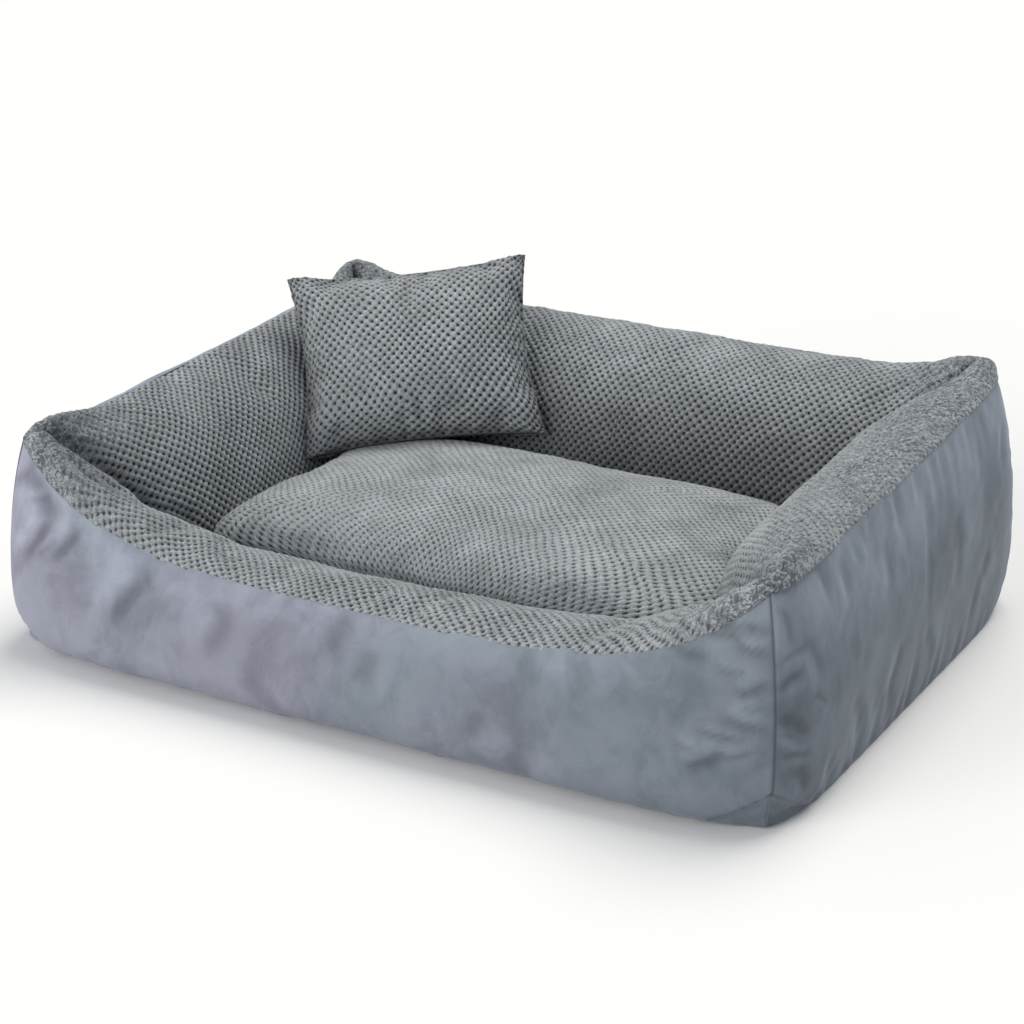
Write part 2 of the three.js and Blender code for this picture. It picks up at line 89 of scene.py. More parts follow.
def normalsOf(points):
    # unit normals of a grid: the cross product of its column and row directions
    across = np.gradient(points, axis=1)
    down = np.gradient(points, axis=0)
    n = np.cross(across, down)
    return n / np.maximum(np.linalg.norm(n, axis=2, keepdims=True), 1e-9)


def lengthsDown(points):
    # distance along each column of a grid from its first row
    steps = np.linalg.norm(np.diff(points, axis=0), axis=2)
    return np.concatenate([np.zeros((1, points.shape[1])), np.cumsum(steps, axis=0)])


def finerWeights(coarse, fine):
    # Catmull-Rom weights that carry values at the coarse parameters to the fine ones, as a matrix
    n = len(coarse)
    place = np.interp(fine, coarse, np.arange(n))
    i = np.clip(np.floor(place).astype(int), 0, n - 2)
    f = place - i
    four = [-f / 2 + f ** 2 - f ** 3 / 2, 1 - 2.5 * f ** 2 + 1.5 * f ** 3,
            f / 2 + 2 * f ** 2 - 1.5 * f ** 3, -f ** 2 / 2 + f ** 3 / 2]
    weights = np.zeros((len(fine), n))
    for k, share in enumerate(four):
        np.add.at(weights, (np.arange(len(fine)), np.clip(i + k - 1, 0, n - 1)), share)
    return weights


def finer(values, rows, columns):
    # carries a grid of values to a finer grid: rows matrix times values times columns matrix
    return np.einsum("ar,rcx,bc->abx", rows, values, columns, optimize=True)


def gridFaces(rows, columns, closeRows=False, closeColumns=False):
    # the four-sided faces of a grid, joined end to end where it closes
    r = np.arange(rows if closeRows else rows - 1)[:, None]
    c = np.arange(columns if closeColumns else columns - 1)[None, :]
    r2, c2 = (r + 1) % rows, (c + 1) % columns
    corners = [r * columns + c, r * columns + c2, r2 * columns + c2, r2 * columns + c]
    return np.stack(corners, 2).reshape(-1, 4)


def meshOf(name, points, faces, flat=None, marks=None, flip=False):
    # A mesh from points in millimetres. flat is the place of each point on the cloth as it was cut,
    # and goes into the UV map clothFlat in metres. marks are float attributes.
    points = np.asarray(points, float).reshape(-1, 3)
    faces = np.asarray(faces)
    if flip:
        faces = faces[:, ::-1]
    sides = faces.shape[1]
    mesh = bpy.data.meshes.new(name)
    mesh.vertices.add(len(points))
    mesh.vertices.foreach_set("co", (points * mm).astype(np.float32).ravel())
    mesh.loops.add(faces.size)
    mesh.loops.foreach_set("vertex_index", faces.ravel().astype(np.int32))
    mesh.polygons.add(len(faces))
    mesh.polygons.foreach_set("loop_start", np.arange(0, faces.size, sides, dtype=np.int32))
    mesh.update(calc_edges=True)
    if flat is not None:
        layer = mesh.uv_layers.new(name="clothFlat")
        places = (np.asarray(flat, float).reshape(-1, 2) * mm)[faces.ravel()]
        layer.uv.foreach_set("vector", places.astype(np.float32).ravel())
    for mark, values in (marks or {}).items():
        layer = mesh.attributes.new(mark, "FLOAT", "POINT")
        layer.data.foreach_set("value", np.asarray(values, np.float32).ravel())
    mesh.shade_smooth()
    return mesh


def newPiece(name, mesh, material, body, replaced=()):
    piece = bpy.data.objects.new(name, mesh)
    bpy.context.scene.collection.objects.link(piece)
    mesh.materials.append(material)
    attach(piece, body)
    if replaced:
        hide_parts(*replaced)
    return piece


camera = {"place": (1.2643, -2.2239, 1.1004), "azimuth": 29.9, "elevation": 20.7, "lens": 83.2}


def makeCamera():
    a, e = math.radians(camera["azimuth"]), math.radians(camera["elevation"])
    back = Vector((math.sin(a) * math.cos(e), -math.cos(a) * math.cos(e), math.sin(e)))
    right = Vector((math.cos(a), math.sin(a), 0))
    data = bpy.data.cameras.new("camera")
    data.lens, data.sensor_width = camera["lens"], 36
    data.clip_start, data.clip_end = 0.05, 50
    eye = bpy.data.objects.new("camera", data)
    bpy.context.scene.collection.objects.link(eye)
    turned = Matrix((right, back.cross(right), back)).transposed().to_4x4()
    eye.matrix_world = Matrix.Translation(camera["place"]) @ turned
    bpy.context.scene.camera = eye


studio = {
    "floorSize": 80, "floorColour": "#fafaf8", "worldColour": (0.93, 0.98, 1.06, 1), "worldStrength": 0.41,
    "lamps": [  # azimuth, elevation, soft angle in degrees, strength, colour
        (-24, 11, 50, 2.15, (1.03, 1.0, 0.96)),
        (168, 62, 42, 1.82, (1.03, 1.0, 0.94)),
    ],
}


def addNode(tree, kind, inputs=None, **settings):
    node = tree.nodes.new(kind)
    for key, value in settings.items():
        setattr(node, key, value)
    for key, value in (inputs or {}).items():
        socket = node.inputs[key]
        if isinstance(value, bpy.types.NodeSocket):
            tree.links.new(value, socket)
        else:
            socket.default_value = value
    return node


def makeStudio():
    half = studio["floorSize"] / 2
    mesh = bpy.data.meshes.new("floor")
    corners = [(-half, -half, 0), (half, -half, 0), (half, half, 0), (-half, half, 0)]
    mesh.from_pydata(corners, [], [(0, 1, 2, 3)])
    floor = bpy.data.objects.new("floor", mesh)
    bpy.context.scene.collection.objects.link(floor)
    paper = bpy.data.materials.new("mattPaperFloor")
    paper.use_nodes = True
    shader = paper.node_tree.nodes["Principled BSDF"]
    shader.inputs["Base Color"].default_value = linearColour(studio["floorColour"])
    shader.inputs["Roughness"].default_value = 0.9
    shader.inputs["Specular IOR Level"].default_value = 0.1
    mesh.materials.append(paper)
    world = bpy.data.worlds.new("studio")
    bpy.context.scene.world = world
    world.use_nodes = True
    sky = world.node_tree.nodes["Background"]
    sky.inputs["Color"].default_value = studio["worldColour"]
    sky.inputs["Strength"].default_value = studio["worldStrength"]
    for number, (azimuth, elevation, angle, strength, colour) in enumerate(studio["lamps"]):
        data = bpy.data.lights.new(f"softbox{number}", "SUN")
        data.angle, data.energy, data.color = math.radians(angle), strength, colour
        a, e = math.radians(azimuth), math.radians(elevation)
        lamp = bpy.data.objects.new(f"softbox{number}", data)
        back = Vector((math.sin(a) * math.cos(e), -math.cos(a) * math.cos(e), math.sin(e)))
        lamp.rotation_euler = back.to_track_quat("Z", "Y").to_euler()
        bpy.context.scene.collection.objects.link(lamp)
    bpy.context.scene.view_settings.view_transform = "Standard"


makeCamera()
makeStudio()
print("camera, floor and light are in place")


# Honeycomb plush: a knitted polyester fleece, embossed so that round tufts stand in staggered rows with a
# small pit between each four. The pits and the brushed, lighter crowns are what the eye reads; the colours
# pit, side and crown paint shade into the pits and down the tufts' sides, and light on their tops.
plushCloth = {
    "tuftPitch": 10.9, "rowPitch": 5.8, "tuftHeight": (1.9, 4.2), "softness": (3.2, 1.25), "gap": 0.22,
    "crown": "#a8adb0", "side": "#83888b", "pit": "#282c2f", "brushed": "#9fa4a8", "parting": "#54595e",
}


def newMaterial(name):
    material = bpy.data.materials.new(name)
    material.use_nodes = True
    return material, material.node_tree, material.node_tree.nodes["Principled BSDF"]


def plushMaterial(name, tone=1.0):
    material, tree, shader = newMaterial(name)
    flat = addNode(tree, "ShaderNodeUVMap", uv_map="clothFlat").outputs[0]
    place = addNode(tree, "ShaderNodeTexCoord").outputs["Object"]
    parts = addNode(tree, "ShaderNodeSeparateXYZ", {0: flat}).outputs
    alongTurn = 2 * math.pi / (plushCloth["tuftPitch"] * mm)
    downTurn = math.pi / (plushCloth["rowPitch"] * mm)
    alongPhase = addNode(tree, "ShaderNodeMath", {0: parts[0], 1: alongTurn}, operation="MULTIPLY").outputs[0]
    downPhase = addNode(tree, "ShaderNodeMath", {0: parts[1], 1: downTurn}, operation="MULTIPLY").outputs[0]
    alongWave = addNode(tree, "ShaderNodeMath", {0: alongPhase}, operation="COSINE").outputs[0]
    downWave = addNode(tree, "ShaderNodeMath", {0: downPhase}, operation="COSINE").outputs[0]
    tuft = addNode(tree, "ShaderNodeMath", {0: alongWave, 1: downWave}, operation="MULTIPLY").outputs[0]
    fibres = addNode(tree, "ShaderNodeTexNoise", {"Vector": place, "Scale": 520.0, "Detail": 4.0,
                                                  "Roughness": 0.72}).outputs[0]
    lie = addNode(tree, "ShaderNodeTexNoise", {"Vector": place, "Scale": 19.0, "Detail": 3.0,
                                               "Distortion": 0.8}).outputs[0]
    tangle = addNode(tree, "ShaderNodeTexNoise", {"Vector": place, "Scale": 170.0, "Detail": 3.0,
                                                  "Distortion": 1.8}).outputs[0]
    brushed = addNode(tree, "ShaderNodeAttribute", attribute_name="brushed").outputs["Fac"]
    ragged = addNode(tree, "ShaderNodeMath", {0: fibres, 1: 0.5, 2: -0.25},
                     operation="MULTIPLY_ADD").outputs[0]
    beady = addNode(tree, "ShaderNodeAttribute", attribute_name="beady").outputs["Fac"]
    wider = addNode(tree, "ShaderNodeMath", {0: beady, 1: -plushCloth["gap"], 2: ragged},
                    operation="MULTIPLY_ADD").outputs[0]
    rough = addNode(tree, "ShaderNodeMath", {0: tuft, 1: wider}, operation="ADD").outputs[0]
    # painted shade and light: the ramp colours the pits dark, the tufts' sides darker and their tops light,
    # following the tuft wave; gap widens the dark pits where the tufts are beady
    ramp = addNode(tree, "ShaderNodeValToRGB", {0: addNode(tree, "ShaderNodeMapRange", {
        0: rough, 1: -1.0, 2: 1.0, 3: 0.0, 4: 1.0}).outputs[0]})
    pit = linearColour(plushCloth["pit"])
    side = linearColour(plushCloth["side"])
    stops = [(0.0, pit), (0.05, pit), (0.2, side), (0.6, linearColour(plushCloth["crown"]))]
    ramp.color_ramp.elements.new(0.05)
    ramp.color_ramp.elements.new(0.2)
    for element, (where, colour) in zip(ramp.color_ramp.elements, stops):
        element.position = where
        element.color = colour
    partingAndPaintedLight = addNode(tree, "ShaderNodeMapRange", {0: tangle, 1: 0.42, 2: 0.62},
                     interpolation_type="SMOOTHSTEP").outputs[0]
    parting, combed = linearColour(plushCloth["parting"]), linearColour(plushCloth["brushed"])
    fuzz = addNode(tree, "ShaderNodeMix", {0: partingAndPaintedLight, 6: parting, 7: combed}, data_type="RGBA").outputs[2]
    cloth = addNode(tree, "ShaderNodeMix", {0: brushed, 6: ramp.outputs[0], 7: fuzz},
                    data_type="RGBA").outputs[2]
    patches = addNode(tree, "ShaderNodeMapRange", {0: lie, 1: 0.32, 2: 0.68, 3: 0.84 * tone,
                                                   4: 1.14 * tone}).outputs[0]
    speck = addNode(tree, "ShaderNodeMapRange", {0: fibres, 1: 0.34, 2: 0.66, 3: 0.55, 4: 1.42}).outputs[0]
    light = addNode(tree, "ShaderNodeMath", {0: patches, 1: speck}, operation="MULTIPLY").outputs[0]
    # painted shade: the painted shade mark darkens the plush, down to 0.3, low on the walls, in corner
    # creases, at the mat's rim and at the cushion's edges
    paintedShade = addNode(tree, "ShaderNodeAttribute", attribute_name="paintedShade").outputs["Fac"]
    paintedDarkening = addNode(tree, "ShaderNodeMapRange", {0: paintedShade, 3: 1.0, 4: 0.3}).outputs[0]
    light = addNode(tree, "ShaderNodeMath", {0: light, 1: paintedDarkening}, operation="MULTIPLY").outputs[0]
    colour = addNode(tree, "ShaderNodeMix", {0: 1.0, 6: cloth, 7: light}, data_type="RGBA",
                     blend_type="MULTIPLY").outputs[2]
    height = addNode(tree, "ShaderNodeMath", {0: tangle, 1: 0.8, 2: fibres},
                     operation="MULTIPLY_ADD").outputs[0]
    beads = addNode(tree, "ShaderNodeMath", {0: tuft, 1: beady}, operation="MULTIPLY").outputs[0]
    height = addNode(tree, "ShaderNodeMath", {0: beads, 1: 1.1, 2: height},
                     operation="MULTIPLY_ADD").outputs[0]
    bump = addNode(tree, "ShaderNodeBump", {"Height": height, "Strength": 0.7,
                                            "Distance": 1.6 * mm}).outputs[0]
    tree.links.new(colour, shader.inputs["Base Color"])
    tree.links.new(bump, shader.inputs["Normal"])
    shader.inputs["Roughness"].default_value = 0.92
    shader.inputs["Specular IOR Level"].default_value = 0.2
    shader.inputs["Sheen Weight"].default_value = 0.35
    shader.inputs["Sheen Roughness"].default_value = 0.55
    shader.inputs["Sheen Tint"].default_value = linearColour("#e8ecef")
    return material


# Short-pile velour: sheared warp-knit polyester. Its pile leans this way and that, so it shows broad cloudy
# patches and streaks, a soft sheen at grazing angles and almost no thread structure.
# seam: the dark line of a corner seam, also used as painted shade in the fold of each tuck
velourCloth = {
    "light": "#9499a5", "dark": "#737883", "warm": "#868395", "cool": "#74858c", "seam": "#3f434c",
}


def velourMaterial():
    material, tree, shader = newMaterial("shearedVelour")
    place = addNode(tree, "ShaderNodeTexCoord").outputs["Object"]
    stretched = addNode(tree, "ShaderNodeMapping", {"Vector": place, "Scale": (1.0, 1.0, 0.55)}).outputs[0]
    clouds = addNode(tree, "ShaderNodeTexNoise", {"Vector": stretched, "Scale": 7.5, "Detail": 4.0,
                                                  "Roughness": 0.55, "Distortion": 1.2}).outputs[0]
    combed = addNode(tree, "ShaderNodeMapping", {"Vector": place, "Rotation": (0.0, 0.35, 0.0),
                                                 "Scale": (1.0, 1.0, 0.75)}).outputs[0]
    strokes = addNode(tree, "ShaderNodeTexNoise", {"Vector": combed, "Scale": 30.0, "Detail": 5.0,
                                                   "Roughness": 0.62, "Distortion": 1.1}).outputs[0]
    pile = addNode(tree, "ShaderNodeTexNoise", {"Vector": place, "Scale": 900.0, "Detail": 2.0}).outputs[0]
    both = addNode(tree, "ShaderNodeMath", {0: strokes, 1: 0.62, 2: clouds},
                   operation="MULTIPLY_ADD").outputs[0]
    share = addNode(tree, "ShaderNodeMapRange", {0: both, 1: 0.6, 2: 1.0},
                    interpolation_type="SMOOTHSTEP").outputs[0]
    dark, light = linearColour(velourCloth["dark"]), linearColour(velourCloth["light"])
    cloth = addNode(tree, "ShaderNodeMix", {0: share, 6: dark, 7: light}, data_type="RGBA").outputs[2]
    drift = addNode(tree, "ShaderNodeTexNoise", {"Vector": place, "Scale": 4.2, "Detail": 2.0}).outputs[0]
    across = addNode(tree, "ShaderNodeSeparateXYZ", {0: place}).outputs[0]
    # painted shade: the hue shifts towards cool at the right end of the bed, where the cloth lies in bluer
    # shade; drift varies it at random
    paintedSideHue = addNode(tree, "ShaderNodeMapRange", {0: across, 1: -0.45, 2: 0.45, 3: -0.18, 4: 0.14}).outputs[0]
    shifted = addNode(tree, "ShaderNodeMath", {0: drift, 1: paintedSideHue}, operation="ADD").outputs[0]
    towards = addNode(tree, "ShaderNodeMapRange", {0: shifted, 1: 0.36, 2: 0.62}).outputs[0]
    warm, cool = linearColour(velourCloth["warm"]), linearColour(velourCloth["cool"])
    hue = addNode(tree, "ShaderNodeMix", {0: towards, 6: warm, 7: cool}, data_type="RGBA").outputs[2]
    cloth = addNode(tree, "ShaderNodeMix", {0: 0.4, 6: cloth, 7: hue}, data_type="RGBA").outputs[2]
    # painted light and shade: the cloth is painted lighter at the left end of the bed, where the key light
    # falls, and darker at the right end
    lean = addNode(tree, "ShaderNodeMapRange", {0: across, 1: -0.45, 2: 0.48, 3: 1.18, 4: 0.74}).outputs[0]
    speck = addNode(tree, "ShaderNodeMapRange", {0: pile, 1: 0.25, 2: 0.75, 3: 0.93, 4: 1.07}).outputs[0]
    speck = addNode(tree, "ShaderNodeMath", {0: speck, 1: lean}, operation="MULTIPLY").outputs[0]
    specked = addNode(tree, "ShaderNodeMix", {0: 1.0, 6: cloth, 7: speck}, data_type="RGBA",
                      blend_type="MULTIPLY").outputs[2]
    # painted shade and light: the cloth is painted darker in a crease and lighter on the ridge beside it, and
    # lighter along the top seam and darker lower down
    crease = addNode(tree, "ShaderNodeAttribute", attribute_name="crease").outputs["Fac"]
    partingAndPaintedLight = addNode(tree, "ShaderNodeMapRange", {0: crease, 1: -1.0, 2: 1.0, 3: 0.6, 4: 1.3}).outputs[0]
    specked = addNode(tree, "ShaderNodeMix", {0: 1.0, 6: specked, 7: partingAndPaintedLight}, data_type="RGBA",
                      blend_type="MULTIPLY").outputs[2]
    # the dark line of each corner seam, and painted shade in the fold of each tuck
    sewn = addNode(tree, "ShaderNodeAttribute", attribute_name="sewn").outputs["Fac"]
    colour = addNode(tree, "ShaderNodeMix", {0: sewn, 6: specked, 7: linearColour(velourCloth["seam"])},
                     data_type="RGBA").outputs[2]
    bump = addNode(tree, "ShaderNodeBump", {"Height": pile, "Strength": 0.25,
                                            "Distance": 0.6 * mm}).outputs[0]
    tree.links.new(colour, shader.inputs["Base Color"])
    tree.links.new(bump, shader.inputs["Normal"])
    shader.inputs["Roughness"].default_value = 0.8
    shader.inputs["Specular IOR Level"].default_value = 0.25
    shader.inputs["Sheen Weight"].default_value = 0.3
    shader.inputs["Sheen Roughness"].default_value = 0.4
    shader.inputs["Sheen Tint"].default_value = linearColour("#dfe3f2")
    return material


def wovenMaterial(name, light, dark, pitch, roughness):
    # Plain weave: threads go over and under one another, so each crossing is a small light or dark square.
    # pitch is the thread spacing in millimetres.
    material, tree, shader = newMaterial(name)
    flat = addNode(tree, "ShaderNodeUVMap", uv_map="clothFlat").outputs[0]
    place = addNode(tree, "ShaderNodeTexCoord").outputs["Object"]
    parts = addNode(tree, "ShaderNodeSeparateXYZ", {0: flat}).outputs
    waves = []
    for part in (parts[0], parts[1]):
        phase = addNode(tree, "ShaderNodeMath", {0: part, 1: math.pi / (pitch * mm)}, operation="MULTIPLY")
        waves.append(addNode(tree, "ShaderNodeMath", {0: phase.outputs[0]}, operation="SINE").outputs[0])
    weave = addNode(tree, "ShaderNodeMath", {0: waves[0], 1: waves[1]}, operation="MULTIPLY").outputs[0]
    slubs = addNode(tree, "ShaderNodeTexNoise", {"Vector": place, "Scale": 140.0, "Detail": 4.0}).outputs[0]
    both = addNode(tree, "ShaderNodeMath", {0: weave, 1: 0.22, 2: slubs}, operation="MULTIPLY_ADD").outputs[0]
    share = addNode(tree, "ShaderNodeMapRange", {0: both, 1: 0.25, 2: 0.75}).outputs[0]
    colour = addNode(tree, "ShaderNodeMix", {0: share, 6: linearColour(dark), 7: linearColour(light)},
                     data_type="RGBA").outputs[2]
    bump = addNode(tree, "ShaderNodeBump", {"Height": both, "Strength": 0.5, "Distance": 0.4 * mm}).outputs[0]
    tree.links.new(colour, shader.inputs["Base Color"])
    tree.links.new(bump, shader.inputs["Normal"])
    shader.inputs["Roughness"].default_value = roughness
    shader.inputs["Specular IOR Level"].default_value = 0.3
    return material


def grainyMaterial(name, light, dark, grain, roughness, metal=0.0):
    # cast, moulded or spun material with a fine grain, and a little wear in its roughness
    material, tree, shader = newMaterial(name)
    place = addNode(tree, "ShaderNodeTexCoord").outputs["Object"]
    fine = addNode(tree, "ShaderNodeTexNoise", {"Vector": place, "Scale": grain, "Detail": 4.0}).outputs[0]
    colour = addNode(tree, "ShaderNodeMix", {0: fine, 6: linearColour(dark), 7: linearColour(light)},
                     data_type="RGBA").outputs[2]
    worn = addNode(tree, "ShaderNodeMapRange", {0: fine, 1: 0.3, 2: 0.7, 3: roughness - 0.08,
                                                4: roughness + 0.1}).outputs[0]
    bump = addNode(tree, "ShaderNodeBump", {"Height": fine, "Strength": 0.15,
                                            "Distance": 0.2 * mm}).outputs[0]
    tree.links.new(colour, shader.inputs["Base Color"])
    tree.links.new(worn, shader.inputs["Roughness"])
    tree.links.new(bump, shader.inputs["Normal"])
    shader.inputs["Metallic"].default_value = metal
    return material


velour = velourMaterial()
oxford = wovenMaterial("coatedOxford", "#45474e", "#2e3036", 0.9, 0.6)
plainCloth = wovenMaterial("plainWovenPolyester", "#6a6e74", "#4c5056", 0.6, 0.8)
tapeCloth = wovenMaterial("wovenZipTape", "#7c8087", "#5c6067", 0.5, 0.75)
rubber = grainyMaterial("printedRubberDots", "#3a3c41", "#24262a", 900.0, 0.55)
nylon = grainyMaterial("spunNylonCoil", "#74787f", "#555960", 700.0, 0.4)
thread = grainyMaterial("twistedPolyesterThread", "#8a8e95", "#666a71", 1500.0, 0.7)
zinc = grainyMaterial("dieCastZinc", "#a2a4a6", "#84868a", 260.0, 0.36, metal=1.0)
plush = plushMaterial("honeycombPlush")
print("cloths are ready")


# Pressure pushes the stuffed cloth out between its sewn edges. Its rest lengths are a little longer than the
# pattern, so that spare cloth gathers in soft puckers along the seams.
stuffing = {"pressure": 4.0, "frames": 20, "bending": 0.6, "tension": 14.0}


def inflate(name, points, faces, pinned, spare, capped):
    # how far each point moves, in millimetres; capped is the furthest that each may go
    mesh = meshOf(name, points, faces)
    pad = bpy.data.objects.new(name, mesh)
    bpy.context.scene.collection.objects.link(pad)
    group = pad.vertex_groups.new(name="sewn")
    group.add([int(i) for i in np.flatnonzero(pinned)], 1.0, "REPLACE")
    cloth = pad.modifiers.new("cloth", "CLOTH")
    settings = cloth.settings
    settings.quality = 5
    settings.vertex_group_mass = "sewn"
    settings.use_pressure = True
    settings.uniform_pressure_force = stuffing["pressure"]
    settings.effector_weights.gravity = 0
    settings.bending_stiffness = stuffing["bending"]
    settings.tension_stiffness = settings.compression_stiffness = stuffing["tension"]
    settings.shrink_min = -spare
    cloth.collision_settings.use_collision = False
    cloth.point_cache.frame_end = stuffing["frames"]
    for step in range(1, stuffing["frames"] + 1):
        bpy.context.scene.frame_set(step)
    done = pad.evaluated_get(bpy.context.evaluated_depsgraph_get())
    found = np.empty(len(points) * 3, np.float32)
    done.data.vertices.foreach_get("co", found)
    moved = found.reshape(-1, 3) * perMetre - points
    bpy.data.objects.remove(pad)
    bpy.data.meshes.remove(mesh)
    bpy.context.scene.frame_set(1)
    size = np.linalg.norm(moved, axis=1, keepdims=True)
    capped = np.broadcast_to(np.asarray(capped, float), (len(points),))[:, None]
    # eases into the cap, so that nothing is cut off flat
    return moved / np.maximum(size, 1e-6) * capped * np.tanh(size / np.maximum(capped, 1e-6))


middleEdge, floorMargin = 30, 4          # the velour's lower edge, and the floor panel's step in from it
floorLow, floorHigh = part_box("floor_panel")
halfLength = floorHigh.x * perMetre - (middleEdge - floorMargin)
halfWidth = floorHigh.y * perMetre - (middleEdge - floorMargin)
floorTop = floorHigh.z * perMetre + 1.2

# Heights and depths of the walls, as on the frame they go over. Depth is measured inward from the line
# between two corners.
wallShape = {
    "wallFoot": 130, "cornerFoot": 124, "footHeights": (95, 90),      # where the plush stops curving inward
    "cornerEdge": 8, "cornerBelly": (28, 30), "bulgePower": 9,        # the velour at a corner
    "crestIn": 8, "cornerIn": (20, 80), "cornerRise": 52, "cornerDrop": 100,
    "creaseDepth": 13, "creaseWide": 8, "creaseStart": (20, 50),
    "roll": 10, "rollAt": 17, "rollWide": 16, "rollReach": 30,        # the plush beside a corner tip
    "meetReach": 6, "looseFrom": 6, "pileStart": 7,
    "lip": (1.4, 2.6), "hem": (5, 7), "hemAside": (8, 15),
    "seamDepth": 1.6, "seamWide": 1.9, "stitchWide": 1.3, "reliefShare": 1.9,
    "tuckHeight": 44, "tuckReach": 62, "tuckDeep": 7, "tuckFold": 3.6, "tuckSoft": 7, "foldWide": 2.8,
}
walls = {
    "front": dict(
        normal=(0, -1), tangent=(1, 0), half=halfLength, out=halfWidth,
        endHeights=(244, 243), seamHeight=134, seamSlope=4, dip=5, sag=0.2, crestLift=26, crestFall=14,
        shoulder=-8, shoulderSlope=20, shoulderIn=100, bellyLow=80, bellyLowSlope=0, belly=54, seamOut=20,
        tipIn=(-6, -1), earReach=(170, 90)),
    "right": dict(
        normal=(1, 0), tangent=(0, 1), half=halfWidth, out=halfLength,
        endHeights=(243, 292), seamHeight=272, seamSlope=24, dip=8, sag=0, crestLift=28,
        shoulder=30, shoulderSlope=-4, shoulderIn=115, bellyLow=34, bellyLowSlope=-14, belly=48, seamOut=18,
        tipIn=(-1, 9), earReach=(90, 190)),
    "back": dict(
        normal=(0, 1), tangent=(-1, 0), half=halfLength, out=halfWidth,
        endHeights=(292, 293), seamHeight=270, seamSlope=4, dip=8, sag=0, crestLift=26,
        shoulder=14, shoulderSlope=0, shoulderIn=100, bellyLow=60, bellyLowSlope=0, belly=46, seamOut=18,
        tipIn=(9, 0), earReach=(190, 130)),
    "left": dict(
        normal=(-1, 0), tangent=(0, -1), half=halfWidth, out=halfLength,
        endHeights=(293, 244), seamHeight=262, seamSlope=-16, dip=8, sag=0, crestLift=7,
        shoulder=4, shoulderSlope=0, shoulderIn=100, bellyLow=50, bellyLowSlope=0, belly=44, seamOut=-12,
        tipIn=(0, -6), earReach=(130, 170), bellyRise=1.1),
}


def seamHeightAt(wall, t):
    # The top seam dips from its corner tips to its middle height: the share of the tips' height is
    # sag times t squared, and the rest of it |t| to the power dip.
    straight = mix(*wall["endHeights"], (t + 1) / 2)
    share = wall["sag"] * t ** 2 + (1 - wall["sag"]) * np.abs(t) ** wall["dip"]
    return mix(wall["seamHeight"] + wall["seamSlope"] * t, straight, share)


def wallPoints(wall, t, cornerDepth, depth, height):
    # A point stands t times (the wall's half length less the corner's depth) along the wall, and its depth
    # inward from the wall's line.
    along = (wall["half"] - cornerDepth) * t
    out = wall["out"] - depth
    along, out, height = np.broadcast_arrays(along, out, height)
    (tx, ty), (nx, ny) = wall["tangent"], wall["normal"]
    return np.stack([tx * along + nx * out, ty * along + ny * out, height], 2)


def velourGrid(wall, t, w):
    # The outside: from the lower edge (w 0) out round the belly and up to the top seam (w 1).
    # Each section is a cubic Bezier curve, mixed from a tight corner section and a full middle one by
    # 1 - |t| to the power bulgePower.
    t, w = t[None, :], w[:, None]
    tip = np.where(t < 0, wall["tipIn"][0], wall["tipIn"][1])
    swell = 1 - np.abs(t) ** wallShape["bulgePower"]
    seam = seamHeightAt(wall, t)
    low = wall["bellyLow"] + wall["bellyLowSlope"] * t
    corner = [-wallShape["cornerEdge"], -wallShape["cornerBelly"][0], -wallShape["cornerBelly"][1], tip]
    middle = [-middleEdge, -low, -wall["belly"], -wall["seamOut"]]
    section = [mix(c, m, swell) for c, m in zip(corner, middle)]
    rise = mix(0.6, wall.get("bellyRise", 0.6), np.clip(swell * 1.2 - 0.2, 0, 1)) * seam
    return wallPoints(wall, t, bezier(*corner, w), bezier(*section, w), bezier(1, 0, rise, seam, w))


def plushGrid(wall, t, w):
    # The inside: from the top seam (w 0) over the crest to the foot (w 1), then straight down (w 2).
    # Each section is a cubic Bezier curve. Towards a corner it turns into the crease between two walls, as
    # the square of the distance over earReach.
    t, w = t[None, :], w[:, None]
    left = t < 0
    tip = np.where(left, wall["tipIn"][0], wall["tipIn"][1])
    reach = np.where(left, wall["earReach"][0], wall["earReach"][1])
    full = 1 - (1 - np.minimum(1, wall["half"] * (1 - np.abs(t)) / reach)) ** 2
    seam = seamHeightAt(wall, t)
    seamDepth = mix(-wall["seamOut"], tip, np.abs(t) ** wallShape["bulgePower"])
    cornerIn = wallShape["cornerIn"]
    corner = [tip, tip + cornerIn[0], cornerIn[1], wallShape["cornerFoot"]]
    middle = [wallShape["crestIn"] - wall["seamOut"], wall["shoulderIn"], wallShape["wallFoot"]]
    shoulder = wall["shoulder"] + wall["shoulderSlope"] * t
    depths = [seamDepth] + [mix(c, m, full) for c, m in zip(corner[1:], middle)]
    lift = wall["crestLift"] - wall.get("crestFall", 0) * smooth(0.15, 0.7, t)
    rise, drop = wallShape["cornerRise"], wallShape["cornerDrop"]
    foot = mix(*wallShape["footHeights"], full)
    heights = [seam, seam + mix(rise, lift, full), seam + mix(-drop, shoulder, full), foot]
    over = np.minimum(w, 1)
    height = np.where(w > 1, mix(foot, floorTop, w - 1), bezier(*heights, over))
    return wallPoints(wall, t, bezier(*corner, over), bezier(*depths, over), height)


simSteps = {
    "stations": 61, "shortStations": 47, "velourRows": 24, "plushRows": 26, "dropRows": 8, "baseRows": 9,
    "velourCap": 4.0, "plushCap": 9.0, "endReach": 60, "matRows": 4, "matShare": 0.35, "spare": 0.008,
}


def evenRows(makeGrid, wall, low, high, count):
    # parameters that cut the middle section of a wall into even lengths
    dense = np.linspace(low, high, 400)
    length = lengthsDown(makeGrid(wall, np.array([0.3]), dense))[:, 0]
    return np.interp(np.linspace(0, length[-1], count), length, dense)


